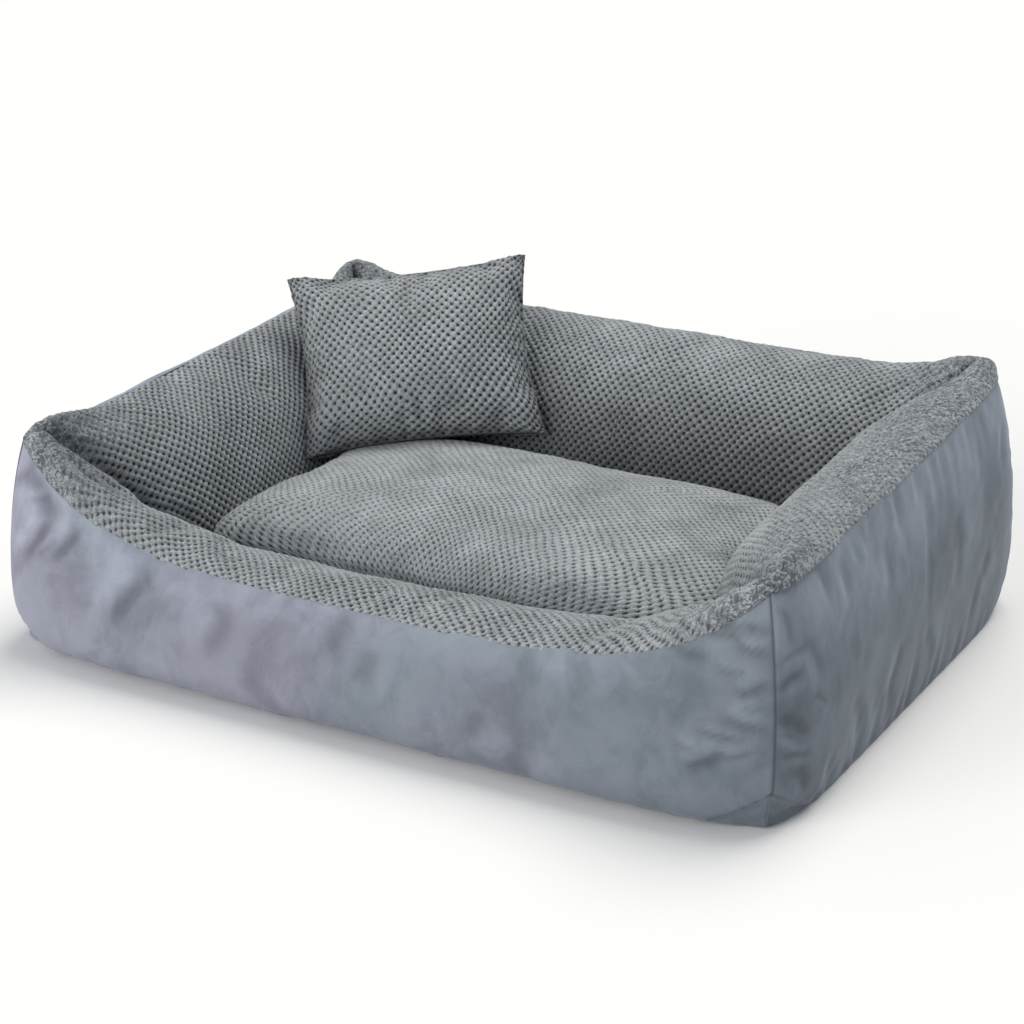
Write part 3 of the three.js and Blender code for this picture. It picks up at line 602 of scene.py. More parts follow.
def stuffWall(side, wall):
    # simulates one wall as a closed tube, and returns how its velour and its plush move
    count = simSteps["stations"] if wall["half"] > 400 else simSteps["shortStations"]
    t = np.linspace(-1, 1, count)
    velourRows = evenRows(velourGrid, wall, 0, 1, simSteps["velourRows"])
    overRows = evenRows(plushGrid, wall, 0, 1, simSteps["plushRows"])
    plushRows = np.concatenate([overRows, np.linspace(1, 2, simSteps["dropRows"])[1:]])
    outside = velourGrid(wall, t, velourRows)
    inside = plushGrid(wall, t, plushRows)
    share = np.linspace(0, 1, simSteps["baseRows"])[1:-1, None, None]
    base = mix(inside[-1][None], outside[0][None], share)
    loop = np.concatenate([outside, inside[1:], base])
    rows = len(loop)
    pinned = np.zeros((rows, count), bool)
    pinned[:, [0, -1]] = True
    pinned[0] = True                                  # velour's lower edge
    pinned[len(outside) - 1] = True                   # top seam
    pinned[len(outside) + len(inside) - 2:] = True    # the plush's foot and the base
    caps = np.full((rows, count), simSteps["velourCap"])
    caps[len(outside):] = simSteps["plushCap"]
    fromEnd = wall["half"] * (1 - np.abs(t))
    caps = caps * np.minimum(1, 0.25 + fromEnd / simSteps["endReach"])[None, :]
    # there is little room beside the mat
    caps[len(outside) + simSteps["plushRows"] - simSteps["matRows"]:] *= simSteps["matShare"]
    moved = inflate(f"{side}Stuffed", loop.reshape(-1, 3), gridFaces(rows, count, closeRows=True),
                    pinned.ravel(), simSteps["spare"], caps.ravel()).reshape(rows, count, 3)
    top = len(outside) - 1
    return t, velourRows, plushRows, moved[:top + 1], moved[top:top + len(inside)]


def tufts(s, v, beady):
    # Honeycomb height, 0 in a pit to 1 on a tuft, from the product of two cosine waves, which staggers its
    # rows by half a pitch. A high power leaves a flat face with small pits, and a low one makes round beads.
    wave = np.cos(2 * np.pi * s / plushCloth["tuftPitch"]) * np.cos(np.pi * v / plushCloth["rowPitch"])
    return 1 - np.clip((1 - wave) / 2, 0, 1) ** mix(*plushCloth["softness"], beady)


def pileHeight(s, v, beady, brushed, seed):
    # The tufts, flattened where the pile is brushed out, plus the fuzz that stands there instead: two sizes
    # of soft noise, and a third all over.
    pile = mix(*plushCloth["tuftHeight"], beady) * (tufts(s, v, beady) - 0.6) * (1 - 0.75 * brushed)
    fuzz = 0.9 * softNoise(s, v, 5.2, seed) + 0.6 * softNoise(s, v, 2.9, seed + 1)
    return pile + 0.3 * softNoise(s, v, 3.1, seed + 2) + brushed * fuzz


def clothPlaces(along, down, seed):
    # Where each point lies on the flat cloth: its arc lengths plus soft noise, as the knit of real cloth
    # wanders a little.
    wander = 2.2
    s = along + wander * softNoise(along, down, 34, seed) + 0.7 * softNoise(along, down, 11, seed + 1)
    v = down + 0.7 * wander * softNoise(along, down, 38, seed + 2)
    v = v + 0.4 * softNoise(along, down, 12, seed + 3)
    return s, v


fineSteps = {
    "plush": 1.8, "plushDown": 1.65, "drop": 3.4, "velour": 3.2,
    "velourEnd": (0, 1, 2, 3.2, 4.8, 7, 10),      # columns from each corner seam
}

# How the plush looks on each wall. shade: from this height down to that one the plush is painted darker, by
# the painted shade amount, as painted shade low on the wall. beads: how round the tufts are at the crest and
# at
# the foot. brushed: how far the crest is brushed out, and frontShare how much of that is left at the front
# end.
plushLook = {
    "front": {"shade": (140, 85), "paintedShade": 0.3, "beads": (0.7, 0.7), "brushed": 0.2},
    "right": {"shade": (290, 120), "paintedShade": 0.7, "beads": (0.5, 0.9), "brushed": 0.95, "frontShare": 0.35},
    "back": {"shade": (295, 130), "paintedShade": 0.85, "beads": (0.45, 1.05), "brushed": 0.12},
    "left": {"shade": (250, 120), "paintedShade": 0.4, "beads": (0.7, 0.65), "brushed": 0.15},
}
crestBrushed = (60, 150)       # the brushed part of a crest fades out over these distances from the seam
tipBrushed = {"share": 0.8, "wide": 75, "fade": (45, 110)}
cornerShade = {"paintedShade": 0.5, "wide": 14, "start": (10, 30)}     # painted shade: the plush is painted darker in a corner crease


def makePlushWall(side, wall, stuffed, seed):
    # The stuffed plush grid, moved along its normals by the pile, soft lumps and the rolls beside its ends,
    # less the corner creases.
    t0, _, rows0, _, moved = stuffed
    t = np.linspace(-1, 1, int(2 * wall["half"] / fineSteps["plush"]))
    length = lengthsDown(plushGrid(wall, np.array([0.0]), np.linspace(0, 1, 200)))[-1, 0]
    over = evenRows(plushGrid, wall, 0, 1, int(length / fineSteps["plushDown"]))
    drop = np.linspace(1, 2, int(90 / fineSteps["drop"]))[1:]
    w = np.concatenate([over, drop])
    points = plushGrid(wall, t, w) + finer(moved, finerWeights(rows0, w), finerWeights(t0, t))
    normals = normalsOf(points)
    (tx, ty) = wall["tangent"]
    along = points[:, :, 0] * tx + points[:, :, 1] * ty
    down = lengthsDown(points)
    down = down[-1][None, :] - down
    s, v = clothPlaces(along, down, seed)
    fromEnd = (wall["half"] * (1 - np.abs(t)))[None, :]
    arc = lengthsDown(points)
    look = plushLook[side]
    # Two walls are sewn together in a deep crease at each corner, which falls off exponentially along the
    # wall. Beside it the plush swells in a roll: a bell curve across the crest, and x e^(1 - x) along it.
    crease = wallShape["creaseDepth"] * np.exp(-fromEnd / wallShape["creaseWide"])
    crease = crease * smooth(*wallShape["creaseStart"], arc)
    roll = wallShape["roll"] * np.exp(-((arc - wallShape["rollAt"]) / wallShape["rollWide"]) ** 2)
    beside = fromEnd / wallShape["rollReach"]
    roll = roll * beside * np.exp(1 - beside)
    lumps = 1.4 * softNoise(s, v, 46, seed + 5) + 0.6 * softNoise(s, v, 21, seed + 6)
    foot = 1 - smooth(look["shade"][1], look["shade"][0], points[:, :, 2])
    patches = softNoise(s, v, 55, seed + 7)
    beady = np.clip(mix(*look["beads"], foot) + 0.28 * patches, 0, 1.2)
    uneven = 0.85 + 0.3 * softNoise(s, v, 30, seed + 8)
    brushed = look["brushed"] * (1 - smooth(*crestBrushed, arc)) * uneven
    brushed = brushed * mix(look.get("frontShare", 1), 1, smooth(-0.95, -0.2, t))[None, :]
    # handling has brushed out the pile over each corner tip
    handled = tipBrushed["share"] * np.exp(-(fromEnd / tipBrushed["wide"]) ** 2)
    brushed = brushed + handled * (1 - smooth(*tipBrushed["fade"], arc))
    brushed = np.clip(brushed, 0, 1)
    # painted shade: darker low on the wall and in each corner crease
    paintedDarkening = cornerShade["paintedShade"] * np.exp(-fromEnd / cornerShade["wide"])
    paintedShade = look["paintedShade"] * foot + paintedDarkening * smooth(*cornerShade["start"], arc)
    pile = pileHeight(s, v, beady, brushed, seed + 9)
    pile = pile * mix(0.25, 1, smooth(0, wallShape["pileStart"], arc))       # shorter beside the seam
    # Next to a corner seam the cloth moves only within the corner's diagonal plane, so both walls still
    # meet: the normal loses its part across that plane.
    across = (np.sign(t)[:, None] * np.array([tx, ty, 0]) - np.array([*wall["normal"], 0])) / math.sqrt(2)
    share = np.exp(-(fromEnd / wallShape["meetReach"]) ** 2)[:, :, None]
    normals = normals - share * np.sum(normals * across[None], axis=2, keepdims=True) * across[None]
    normals = normals / np.linalg.norm(normals, axis=2, keepdims=True)
    loose = smooth(0, wallShape["looseFrom"], fromEnd)
    points = points + normals * ((pile + lumps) * loose + roll - crease)[:, :, None]
    # the pile laps over the seam in a lip, and a hem turns in under the velour's edge, away from the corner
    outward = np.array([*wall["normal"], 0.0])
    fromCorner = -np.sign(t)[:, None] * np.array([tx, ty, 0])
    hemAside, (lipOut, lipDown), (hemIn, hemDown) = wallShape["hemAside"], wallShape["lip"], wallShape["hem"]
    lip = points[0] + outward * lipOut * loose[0][:, None] - np.array([0, 0, lipDown])
    hem = points[0] - outward * hemIn - np.array([0, 0, hemDown])
    hem = hem + fromCorner * hemAside[0] * np.exp(-fromEnd[0] / hemAside[1])[:, None]
    points = np.concatenate([hem[None], lip[None], points])
    s, v = np.concatenate([s[:1], s[:1], s]), np.concatenate([v[:1] + 8, v[:1] + 3, v])
    marks = {"beady": beady, "brushed": brushed, "paintedShade": np.clip(paintedShade, 0, 1)}
    marks = {mark: np.concatenate([values[:1], values[:1], values]) for mark, values in marks.items()}
    faces = gridFaces(len(w) + 2, len(t))
    mesh = meshOf(f"{side}Plush", points, faces, flat=np.stack([s, v], 2), marks=marks)
    return newPiece(f"{side}_plush_panel", mesh, plush, "bed_body",
                    [f"{side}_lining", f"{side}_wall_fill"])


# Creases in the velour. Each is (end of the wall, then from and to as distance from that end and height,
# depth, width), in millimetres. The end is -1 where t is -1.
creases = {
    "front": [
        (1, 70, 204, 2, 209, 3.6, 7), (1, 96, 178, 55, 172, 2.4, 7), (1, 34, 192, 4, 186, 2.2, 5),
        (1, 76, 70, 40, 86, 2.4, 6), (1, 42, 122, 8, 112, 2.0, 6), (1, 32, 148, 4, 158, 1.8, 5),
        (-1, 56, 158, 34, 112, 3.0, 8), (-1, 92, 160, 76, 120, 2.8, 8), (-1, 192, 128, 160, 70, 2.4, 12),
        (-1, 18, 206, 62, 168, 2.2, 9), (-1, 25, 238, 8, 190, 1.6, 6), (-1, 300, 110, 285, 60, 1.6, 14),
        (1, 60, 196, 14, 199, 1.6, 3.4), (1, 88, 188, 62, 184, 1.5, 3.4), (1, 50, 168, 22, 163, 1.3, 3.2),
        (1, 66, 108, 30, 100, 1.5, 3.4), (1, 46, 84, 12, 92, 1.4, 3.2), (1, 30, 132, 6, 138, 1.3, 3.2),
        (1, 90, 92, 66, 84, 1.3, 3.6), (-1, 70, 146, 52, 118, 1.5, 4.5), (-1, 44, 186, 24, 176, 1.3, 3.6),
    ],
    "right": [
        (-1, 11, 226, 22, 190, 2.0, 6), (-1, 68, 250, 92, 216, 1.5, 8), (-1, 112, 240, 134, 200, 1.5, 9),
        (-1, 172, 256, 190, 220, 1.4, 9), (-1, 218, 224, 240, 184, 1.4, 11), (-1, 4, 124, 44, 98, 2.2, 7),
        (-1, 4, 152, 32, 166, 2.0, 6), (-1, 40, 190, 70, 150, 1.8, 9), (1, 60, 250, 86, 200, 1.4, 11),
        (1, 20, 240, 28, 190, 1.5, 8), (-1, 6, 108, 34, 90, 1.4, 3.4), (-1, 8, 178, 40, 186, 1.3, 3.4),
        (-1, 10, 84, 46, 76, 1.3, 3.6), (-1, 48, 132, 74, 118, 1.2, 3.8),
    ],
    "back": [],
    "left": [],
}
# painted light along the top seam and painted shade lower down, where 1 is as light as a ridge and -1 as
# dark as a crease
paintedTones = {"front": (0.65, -0.08), "right": (0.8, -0.45), "back": (0.4, -0.1), "left": (0.4, 0)}
# from one to the other over these distances below the seam
paintedToneReach = {"front": (5, 60), "right": (35, 125), "back": (5, 70), "left": (5, 70)}
looseCreases = {                                     # shallow ones at random places
    "count": 9, "length": (25, 60), "depth": (0.8, 1.7), "width": (8, 15), "height": (50, 210),
    "turn": (0.9, 2.2),
}
ridge = {"share": 0.6, "at": 1.9, "width": 1.5}      # beside a crease, in widths of the crease


def creaseRelief(side, wall, t, points, seed):
    # Each crease is a groove, a bell curve across its line, with a wider and lower bell curve beside it as
    # a soft ridge. Both fade out at the line's ends, and the line waves a little as a sine.
    height = points[:, :, 2]
    relief = np.zeros_like(height)
    random = np.random.default_rng(seed)
    drawn = list(creases[side])
    for _ in range(looseCreases["count"]):
        end, f = random.choice([-1, 1]), random.uniform(15, wall["half"])
        z = random.uniform(*looseCreases["height"])
        turn, length = random.uniform(*looseCreases["turn"]), random.uniform(*looseCreases["length"])
        drawn.append((end, f, z, f + length * math.cos(turn), z - length * math.sin(turn),
                      random.uniform(*looseCreases["depth"]), random.uniform(*looseCreases["width"])))
    for end, f0, z0, f1, z1, depth, width in drawn:
        f = wall["half"] * (1 - end * t)[None, :]
        length = math.hypot(f1 - f0, z1 - z0)
        df, dz = (f1 - f0) / length, (z1 - z0) / length
        place = ((f - f0) * df + (height - z0) * dz) / length
        aside = (f - f0) * dz - (height - z0) * df + 1.5 * np.sin(place * 5)
        fade = smooth(-0.2, 0.25, place) * (1 - smooth(0.6, 1.2, place))
        beside = (aside - ridge["at"] * width) / (ridge["width"] * width)
        relief += depth * fade * (ridge["share"] * np.exp(-beside ** 2) - np.exp(-(aside / width) ** 2))
    return relief


def makeVelourWall(side, wall, stuffed, seed):
    # The stuffed velour grid, moved along its normals by soft swellings and the creases, less the corner
    # seams' grooves and the tucks at the foot.
    t0, rows0, _, moved, _ = stuffed
    # columns stand closer together at the corner seams
    ends, whole = np.array(fineSteps["velourEnd"]), 2 * wall["half"]
    middle = np.linspace(ends[-1], whole - ends[-1], int(whole / fineSteps["velour"]))
    t = np.concatenate([ends[:-1], middle, whole - ends[-2::-1]]) / wall["half"] - 1
    length = lengthsDown(velourGrid(wall, np.array([0.0]), np.linspace(0, 1, 200)))[-1, 0]
    w = evenRows(velourGrid, wall, 0, 1, int(length / fineSteps["velour"]))
    points = velourGrid(wall, t, w) + finer(moved, finerWeights(rows0, w), finerWeights(t0, t))
    normals = normalsOf(points)
    (tx, ty) = wall["tangent"]
    along = points[:, :, 0] * tx + points[:, :, 1] * ty
    up = lengthsDown(points)
    height = points[:, :, 2]
    fromEnd = (wall["half"] * (1 - np.abs(t)))[None, :]
    # at the foot of each corner the cloth is folded under along a slanting line, with a bell-shaped groove
    near = np.clip(1 - fromEnd / wallShape["tuckReach"], 0, 1)
    line = wallShape["tuckHeight"] * near
    under = smooth(0, wallShape["tuckSoft"], line - height) * smooth(0, 0.25, near)
    fold = np.exp(-((height - line) / wallShape["foldWide"]) ** 2) * smooth(0, 0.1, near)
    tuck = wallShape["tuckDeep"] * under * smooth(0, 12, height) + wallShape["tuckFold"] * fold
    groove = wallShape["seamDepth"] * np.exp(-(fromEnd / wallShape["seamWide"]) ** 2) * (1 - under)
    swellings = 1.3 * softNoise(along, up, 90, seed) + 0.7 * softNoise(along, up, 38, seed + 1)
    swellings = swellings + 0.35 * softNoise(along, up, 17, seed + 2)
    relief = creaseRelief(side, wall, t, points, seed + 3)
    swellings = (swellings + relief) * smooth(0, 8, fromEnd)
    # no crease lifts the lower edge or the top seam
    swellings = swellings * smooth(0, 25, up) * smooth(0, 10, up[-1][None, :] - up)
    points = points + normals * (swellings - groove - tuck)[:, :, None]
    # painted light along the top seam and painted shade lower down
    tone = mix(*paintedTones[side], smooth(*paintedToneReach[side], up[-1][None, :] - up))
    # sewn: the dark line of each corner seam, plus painted shade in the fold of each tuck
    sewn = 0.85 * np.exp(-(fromEnd / wallShape["stitchWide"]) ** 2) * (1 - under) + 0.7 * fold ** 2
    # crease: painted shade in each crease and a painted highlight on the ridge beside it, plus that painted
    # tone
    marks = {"sewn": np.clip(sewn, 0, 1), "crease": np.clip(relief / wallShape["reliefShare"] + tone, -1, 1)}
    flat = np.stack([along, up], 2)
    mesh = meshOf(f"{side}Velour", points, gridFaces(len(w), len(t)), flat=flat, marks=marks)
    return newPiece(f"{side}_velour_panel", mesh, velour, "bed_body", [f"{side}_outer_panel"])


for number, (side, wall) in enumerate(walls.items()):
    stuffed = stuffWall(side, wall)
    makePlushWall(side, wall, stuffed, 100 * number + 11)
    makeVelourWall(side, wall, stuffed, 100 * number + 61)
    print(f"{side} wall is sewn and stuffed")


matShape = {
    "half": (316, 188), "corner": 12, "middle": 156, "rim": 150, "seam": 22, "base": 5,
    "shoulder": 0.95, "side": 1.3, "seamReach": 0.87, "baseInner": 0.5, "baseOuter": 0.79, "fullest": 1.02,
    "droop": (11, 15), "droopOver": 90, "step": 2.1, "coarse": 12.0, "caps": (10.0, 2.0),
    "capFade": (0.55, 0.8), "spare": 0.03, "paintedShade": 0.22, "paintedShadeFrom": (0.5, 0.75),
}
matMaterial = plushMaterial("honeycombPlushMat", tone=0.98)


def matGrid(u, v, top=True):
    # Rings of a rounded rectangle: the ring number m is the larger of |u| and |v|, and each ring is scaled
    # and raised by Bezier curves of m, flat in the middle and rounded over the rim down to the seam (m 1).
    u, v = np.meshgrid(u, v)
    m = np.maximum(np.abs(u), np.abs(v))
    safe = np.maximum(m, 1e-6)
    du, dv = u / safe, v / safe
    k = matShape["corner"]
    # the corners round off towards the rim
    rounded = 1 / np.maximum(np.abs(du) ** k + np.abs(dv) ** k, 1) ** (1 / k)
    if top:
        # the sides stand straight where they press on the walls
        reach = bezier(0, matShape["shoulder"], matShape["side"], matShape["seamReach"], m)
        reach = np.minimum(reach, matShape["fullest"])
        height = bezier(matShape["middle"], matShape["middle"], matShape["rim"], matShape["seam"], m)
    else:
        reach = bezier(0, matShape["baseInner"], matShape["baseOuter"], matShape["seamReach"], m)
        height = bezier(matShape["base"], matShape["base"], matShape["base"], matShape["seam"], m)
    scale = rounded * reach
    if top:
        # the crown falls away as the square of the distance from the middle
        droop = matShape["droop"][0] * (du * scale) ** 2 + matShape["droop"][1] * (dv * scale) ** 2
        height = height - droop * smooth(matShape["seam"], matShape["droopOver"], height)
    return np.stack([du * scale * matShape["half"][0], dv * scale * matShape["half"][1], height], 2)


def evenAcross(count, axis):
    # parameters from -1 to 1 that cut the mat's middle section into even lengths along one axis
    dense = np.linspace(0, 1, 400)
    line = matGrid(dense, np.array([0.0]))[0] if axis == 0 else matGrid(np.array([0.0]), dense)[:, 0]
    steps = np.linalg.norm(np.diff(line, axis=0), axis=1)
    length = np.concatenate([[0], np.cumsum(steps)])
    half = np.interp(np.linspace(0, length[-1], count), length, dense)
    return np.concatenate([-half[:0:-1], half]), length[-1]


def makeMat():
    # the mat's case: a stuffed top moved along its normals by pile and soft lumps, and a slack underside
    coarse = matShape["coarse"]
    _, reachX = evenAcross(10, 0)
    _, reachY = evenAcross(10, 1)
    u0, _ = evenAcross(int(reachX / coarse), 0)
    v0, _ = evenAcross(int(reachY / coarse), 1)
    base = matGrid(u0, v0)
    moved = np.zeros_like(base)
    under = matGrid(u0, v0, top=False)
    rows, columns = base.shape[:2]
    topIds = np.arange(rows * columns).reshape(rows, columns)
    underIds = topIds + rows * columns
    rim = np.zeros((rows, columns), bool)
    rim[[0, -1]] = rim[:, [0, -1]] = True
    # the underside shares the seam's points
    underIds[rim] = topIds[rim]
    topFaces = gridFaces(rows, columns)
    underFaces = underIds.ravel()[topFaces][:, ::-1]
    points = np.concatenate([base.reshape(-1, 3), under.reshape(-1, 3)])
    pinned = np.concatenate([rim.ravel(), np.ones(rows * columns, bool)])
    ring = np.maximum(np.abs(u0)[None, :], np.abs(v0)[:, None])
    caps = mix(*matShape["caps"], smooth(*matShape["capFade"], ring)).ravel()
    caps = np.concatenate([caps, np.zeros(rows * columns)])
    faces = np.concatenate([topFaces, underFaces])
    moved = inflate("matStuffed", points, faces, pinned, matShape["spare"], caps)
    moved = moved[:rows * columns].reshape(rows, columns, 3)
    u, _ = evenAcross(int(reachX / matShape["step"]), 0)
    v, _ = evenAcross(int(reachY / matShape["step"]), 1)
    points = matGrid(u, v) + finer(moved, finerWeights(v0, v), finerWeights(u0, u))
    normals = normalsOf(points)
    flatX = np.linspace(-reachX, reachX, len(u))[None, :] + np.zeros((len(v), 1))
    flatY = np.linspace(-reachY, reachY, len(v))[:, None] + np.zeros((1, len(u)))
    s, w = clothPlaces(flatX, flatY, 511)
    beady = np.clip(0.12 + 0.3 * softNoise(s, w, 70, 520), 0, 1)
    brushed = np.clip(0.1 + 0.25 * softNoise(s, w, 44, 519), 0, 1)
    ring = np.maximum(np.abs(u)[None, :], np.abs(v)[:, None])
    # painted shade: darker towards the mat's rim
    paintedShade = matShape["paintedShade"] * smooth(*matShape["paintedShadeFrom"], ring)
    pile = pileHeight(s, w, beady, brushed, 524)
    lumps = 1.6 * softNoise(s, w, 80, 522) + 0.7 * softNoise(s, w, 37, 523)
    points = points + normals * (pile + lumps)[:, :, None]
    mesh = meshOf("matTop", points, gridFaces(len(v), len(u)), flat=np.stack([s, w], 2),
                  marks={"beady": beady, "brushed": brushed, "paintedShade": paintedShade})
    newPiece("mat_plush_top", mesh, matMaterial, "mat", ["mat_top_cover", "mat_fill"])
    u, v = np.linspace(-1, 1, 130), np.linspace(-1, 1, 90)
    points = matGrid(u, v, top=False)
    normals = normalsOf(points)
    x, y = points[:, :, 0], points[:, :, 1]
    ring = np.maximum(np.abs(u)[None, :], np.abs(v)[:, None])
    slack = (0.8 * softNoise(x, y, 45, 530) + 0.4 * softNoise(x, y, 19, 531)) * (1 - smooth(0.9, 1, ring))
    points = points + normals * slack[:, :, None]
    mesh = meshOf("matUnderside", points, gridFaces(90, 130), flat=np.stack([x, y], 2), flip=True)
    newPiece("mat_underside", mesh, plainCloth, "mat", ["mat_bottom_cover"])
    print("mat is stuffed")


makeMat()

cushionLow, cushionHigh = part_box("cushion_fill")
cushionShape = {
    "along": (240, 160, 26), "up": (-85, 97, 182),      # the way it lies in the corner
    "half": (150, 117), "thick": 44, "waist": 0.085, "seam": 2, "fullness": 0.42,
    "step": 1.7, "coarse": 8.0, "spare": 0.05, "cap": 8.0,
}


def cushionAxes():
    # unit vectors along its long side, up its short side and out of its face, and its middle
    along = np.array(cushionShape["along"], float)
    along /= np.linalg.norm(along)
    up = np.array(cushionShape["up"], float)
    up -= along * (up @ along)
    up /= np.linalg.norm(up)
    middle = (np.array(cushionLow) + np.array(cushionHigh)) / 2 * perMetre
    return along, up, np.cross(along, up), middle


def cushionGrid(u, v, side):
    # A pillow: its outline pulls in between pointed corners by waist times 1 - v squared, and its height
    # falls to the seam at the edges as ((1 - u squared)(1 - v squared)) to the power fullness.
    u, v = np.meshgrid(u, v)
    waist = cushionShape["waist"]
    x = cushionShape["half"][0] * u * (1 - waist * (1 - v * v))
    y = cushionShape["half"][1] * v * (1 - waist * (1 - u * u))
    rise = np.clip((1 - u * u) * (1 - v * v), 0, 1) ** cushionShape["fullness"]
    z = side * (cushionShape["seam"] + cushionShape["thick"] * rise)
    along, up, out, middle = cushionAxes()
    return middle + x[..., None] * along + y[..., None] * up + z[..., None] * out


def makeCushion():
    # two stuffed faces on a grid that crowds towards the edges as a sine
    coarse = cushionShape["coarse"]
    halfX, halfY = cushionShape["half"]
    u0 = np.sin(np.linspace(-np.pi / 2, np.pi / 2, int(2.3 * halfX / coarse)))
    v0 = np.sin(np.linspace(-np.pi / 2, np.pi / 2, int(2.3 * halfY / coarse)))
    front, rear = cushionGrid(u0, v0, 1), cushionGrid(u0, v0, -1)
    moved = [np.zeros_like(front), np.zeros_like(rear)]
    rows, columns = front.shape[:2]
    ids = np.arange(rows * columns).reshape(rows, columns)
    rim = np.zeros((rows, columns), bool)
    rim[[0, -1]] = rim[:, [0, -1]] = True
    rearIds = ids + rows * columns
    rearIds[rim] = ids[rim]
    faces = gridFaces(rows, columns)
    rearFaces = rearIds.ravel()[faces][:, ::-1]
    points = np.concatenate([front.reshape(-1, 3), rear.reshape(-1, 3)])
    pinned = np.concatenate([rim.ravel(), rim.ravel()])
    shift = inflate("cushionStuffed", points, np.concatenate([faces, rearFaces]), pinned,
                    cushionShape["spare"], cushionShape["cap"])
    moved = [shift[:rows * columns].reshape(front.shape), shift[rows * columns:].reshape(rear.shape)]
    step = cushionShape["step"]
    u = np.sin(np.linspace(-np.pi / 2, np.pi / 2, int(2.7 * halfX / step)))
    v = np.sin(np.linspace(-np.pi / 2, np.pi / 2, int(2.7 * halfY / step)))
    parts = [("cushion_plush_front", 1, ["cushion_front_cover", "cushion_fill"]),
             ("cushion_plush_back", -1, ["cushion_back_cover"])]
    for number, (name, side, replaced) in enumerate(parts):
        points = cushionGrid(u, v, side) + finer(moved[number], finerWeights(v0, v), finerWeights(u0, u))
        normals = normalsOf(points) * side
        # places on the cloth are arc lengths over the fullest sections
        flatX = lengthsDown(np.swapaxes(points[len(v) // 2][None], 0, 1))[:, 0]
        flatY = lengthsDown(points[:, len(u) // 2][:, None])[:, 0]
        flatX, flatY = np.meshgrid(flatX - flatX[-1] / 2, flatY - flatY[-1] / 2)
        s, w = clothPlaces(flatX, flatY, 611 + 20 * number)
        edge = np.minimum((1 - np.abs(u))[None, :] * halfX, (1 - np.abs(v))[:, None] * halfY)
        beady = np.clip(0.55 + 0.3 * softNoise(s, w, 60, 620), 0, 1)
        brushed = np.clip(0.05 + 0.2 * softNoise(s, w, 35, 623), 0, 1)
        # painted shade: darker along the cushion's seam and lower down
        paintedShade = 0.75 * np.exp(-edge / 5) + 0.25 * (1 - smooth(150, 250, points[:, :, 2]))
        pile = pileHeight(s, w, beady, brushed, 624)
        lumps = 1.5 * softNoise(s, w, 60, 622)
        points = points + normals * ((pile + lumps) * smooth(-1, 5, edge))[:, :, None]
        mesh = meshOf(name, points, gridFaces(len(v), len(u)), flat=np.stack([s, w], 2), flip=side < 0,
                      marks={"beady": beady, "brushed": brushed, "paintedShade": paintedShade})
        newPiece(name, mesh, plush, "cushion", replaced)
    print("cushion is stuffed")


makeCushion()


def closedSheet(top, bottom):
    # points and faces of a sheet with thickness: two grids joined round their four edges
    rows, columns = top.shape[:2]
    ids = np.arange(rows * columns).reshape(rows, columns)
    faces = gridFaces(rows, columns)
    edge = np.concatenate([ids[0, :-1], ids[:-1, -1], ids[-1, :0:-1], ids[:0:-1, 0]])
    after = np.roll(edge, -1)
    rim = np.stack([edge, edge + ids.size, after + ids.size, after], 1)
    points = np.concatenate([top.reshape(-1, 3), bottom.reshape(-1, 3)])
    return points, np.concatenate([faces, faces[:, ::-1] + ids.size, rim])


def weld(mesh):
    # joins the points of a pole, so that it closes
    shape = bmesh.new()
    shape.from_mesh(mesh)
    bmesh.ops.remove_doubles(shape, verts=shape.verts, dist=1e-7)
    shape.to_mesh(mesh)
    shape.free()


def rods(starts, ends, lift, radius, rings=5, sides=6):
    # Many short round rods that taper to a point at both ends and arch along +Z by lift times 4q(1 - q), at a
    # share q of the length. Their radius there is radius times the root of 1 - (2q - 1)^4.
    starts, ends = np.asarray(starts, float), np.asarray(ends, float)
    q = np.linspace(0, 1, rings)[None, :, None]
    line = mix(starts[:, None, :], ends[:, None, :], q) + np.array([0, 0, lift]) * 4 * q * (1 - q)
    run = (ends - starts) / np.linalg.norm(ends - starts, axis=1, keepdims=True)
    aside = np.cross(run, [0, 0, 1])
    thick = radius * np.sqrt(np.clip(1 - (2 * q - 1) ** 4, 0, 1))[..., None]
    angle = np.linspace(0, 2 * np.pi, sides, endpoint=False)[None, None, :, None]
    skin = np.cos(angle) * aside[:, None, None, :] + np.sin(angle) * np.array([0, 0, 1.0])
    points = line[:, :, None, :] + thick * skin
    one = gridFaces(rings, sides, closeColumns=True)
    offsets = np.arange(len(starts))[:, None, None] * rings * sides
    return points.reshape(-1, 3), (one[None] + offsets).reshape(-1, 4)


# The floor: coated oxford cloth stretched over the bottom, with rubber dots printed on its underside.
floorCloth = {
    "gap": 1.5, "top": 3.0, "low": 0.7, "columns": 150, "rows": 110,
    "dotPitch": 22.0, "dotRadius": 3.0, "dotProfile": [(1, 0.9), (1, 0.45), (0.75, 0.05), (0, 0)],
}


def floorGrid(height):
    # The outline follows the walls' lower edges: each side swells out between its corners by
    # 1 - |place along it| to the power bulgePower. Inner rings are the same outline scaled down.
    u, v = np.meshgrid(np.linspace(-1, 1, floorCloth["columns"]), np.linspace(-1, 1, floorCloth["rows"]))
    m = np.maximum(np.maximum(np.abs(u), np.abs(v)), 1e-6)
    du, dv = u / m, v / m
    power, corner = wallShape["bulgePower"], wallShape["cornerEdge"] - floorCloth["gap"]
    bulge = middleEdge - wallShape["cornerEdge"]
    reachX = halfLength + corner + bulge * (1 - np.abs(dv) ** power) * (np.abs(du) > 1 - 1e-9)
    reachY = halfWidth + corner + bulge * (1 - np.abs(du) ** power) * (np.abs(dv) > 1 - 1e-9)
    flatHeight = np.full_like(u, height)
    return np.stack([m * du * reachX, m * dv * reachY, flatHeight], 2)


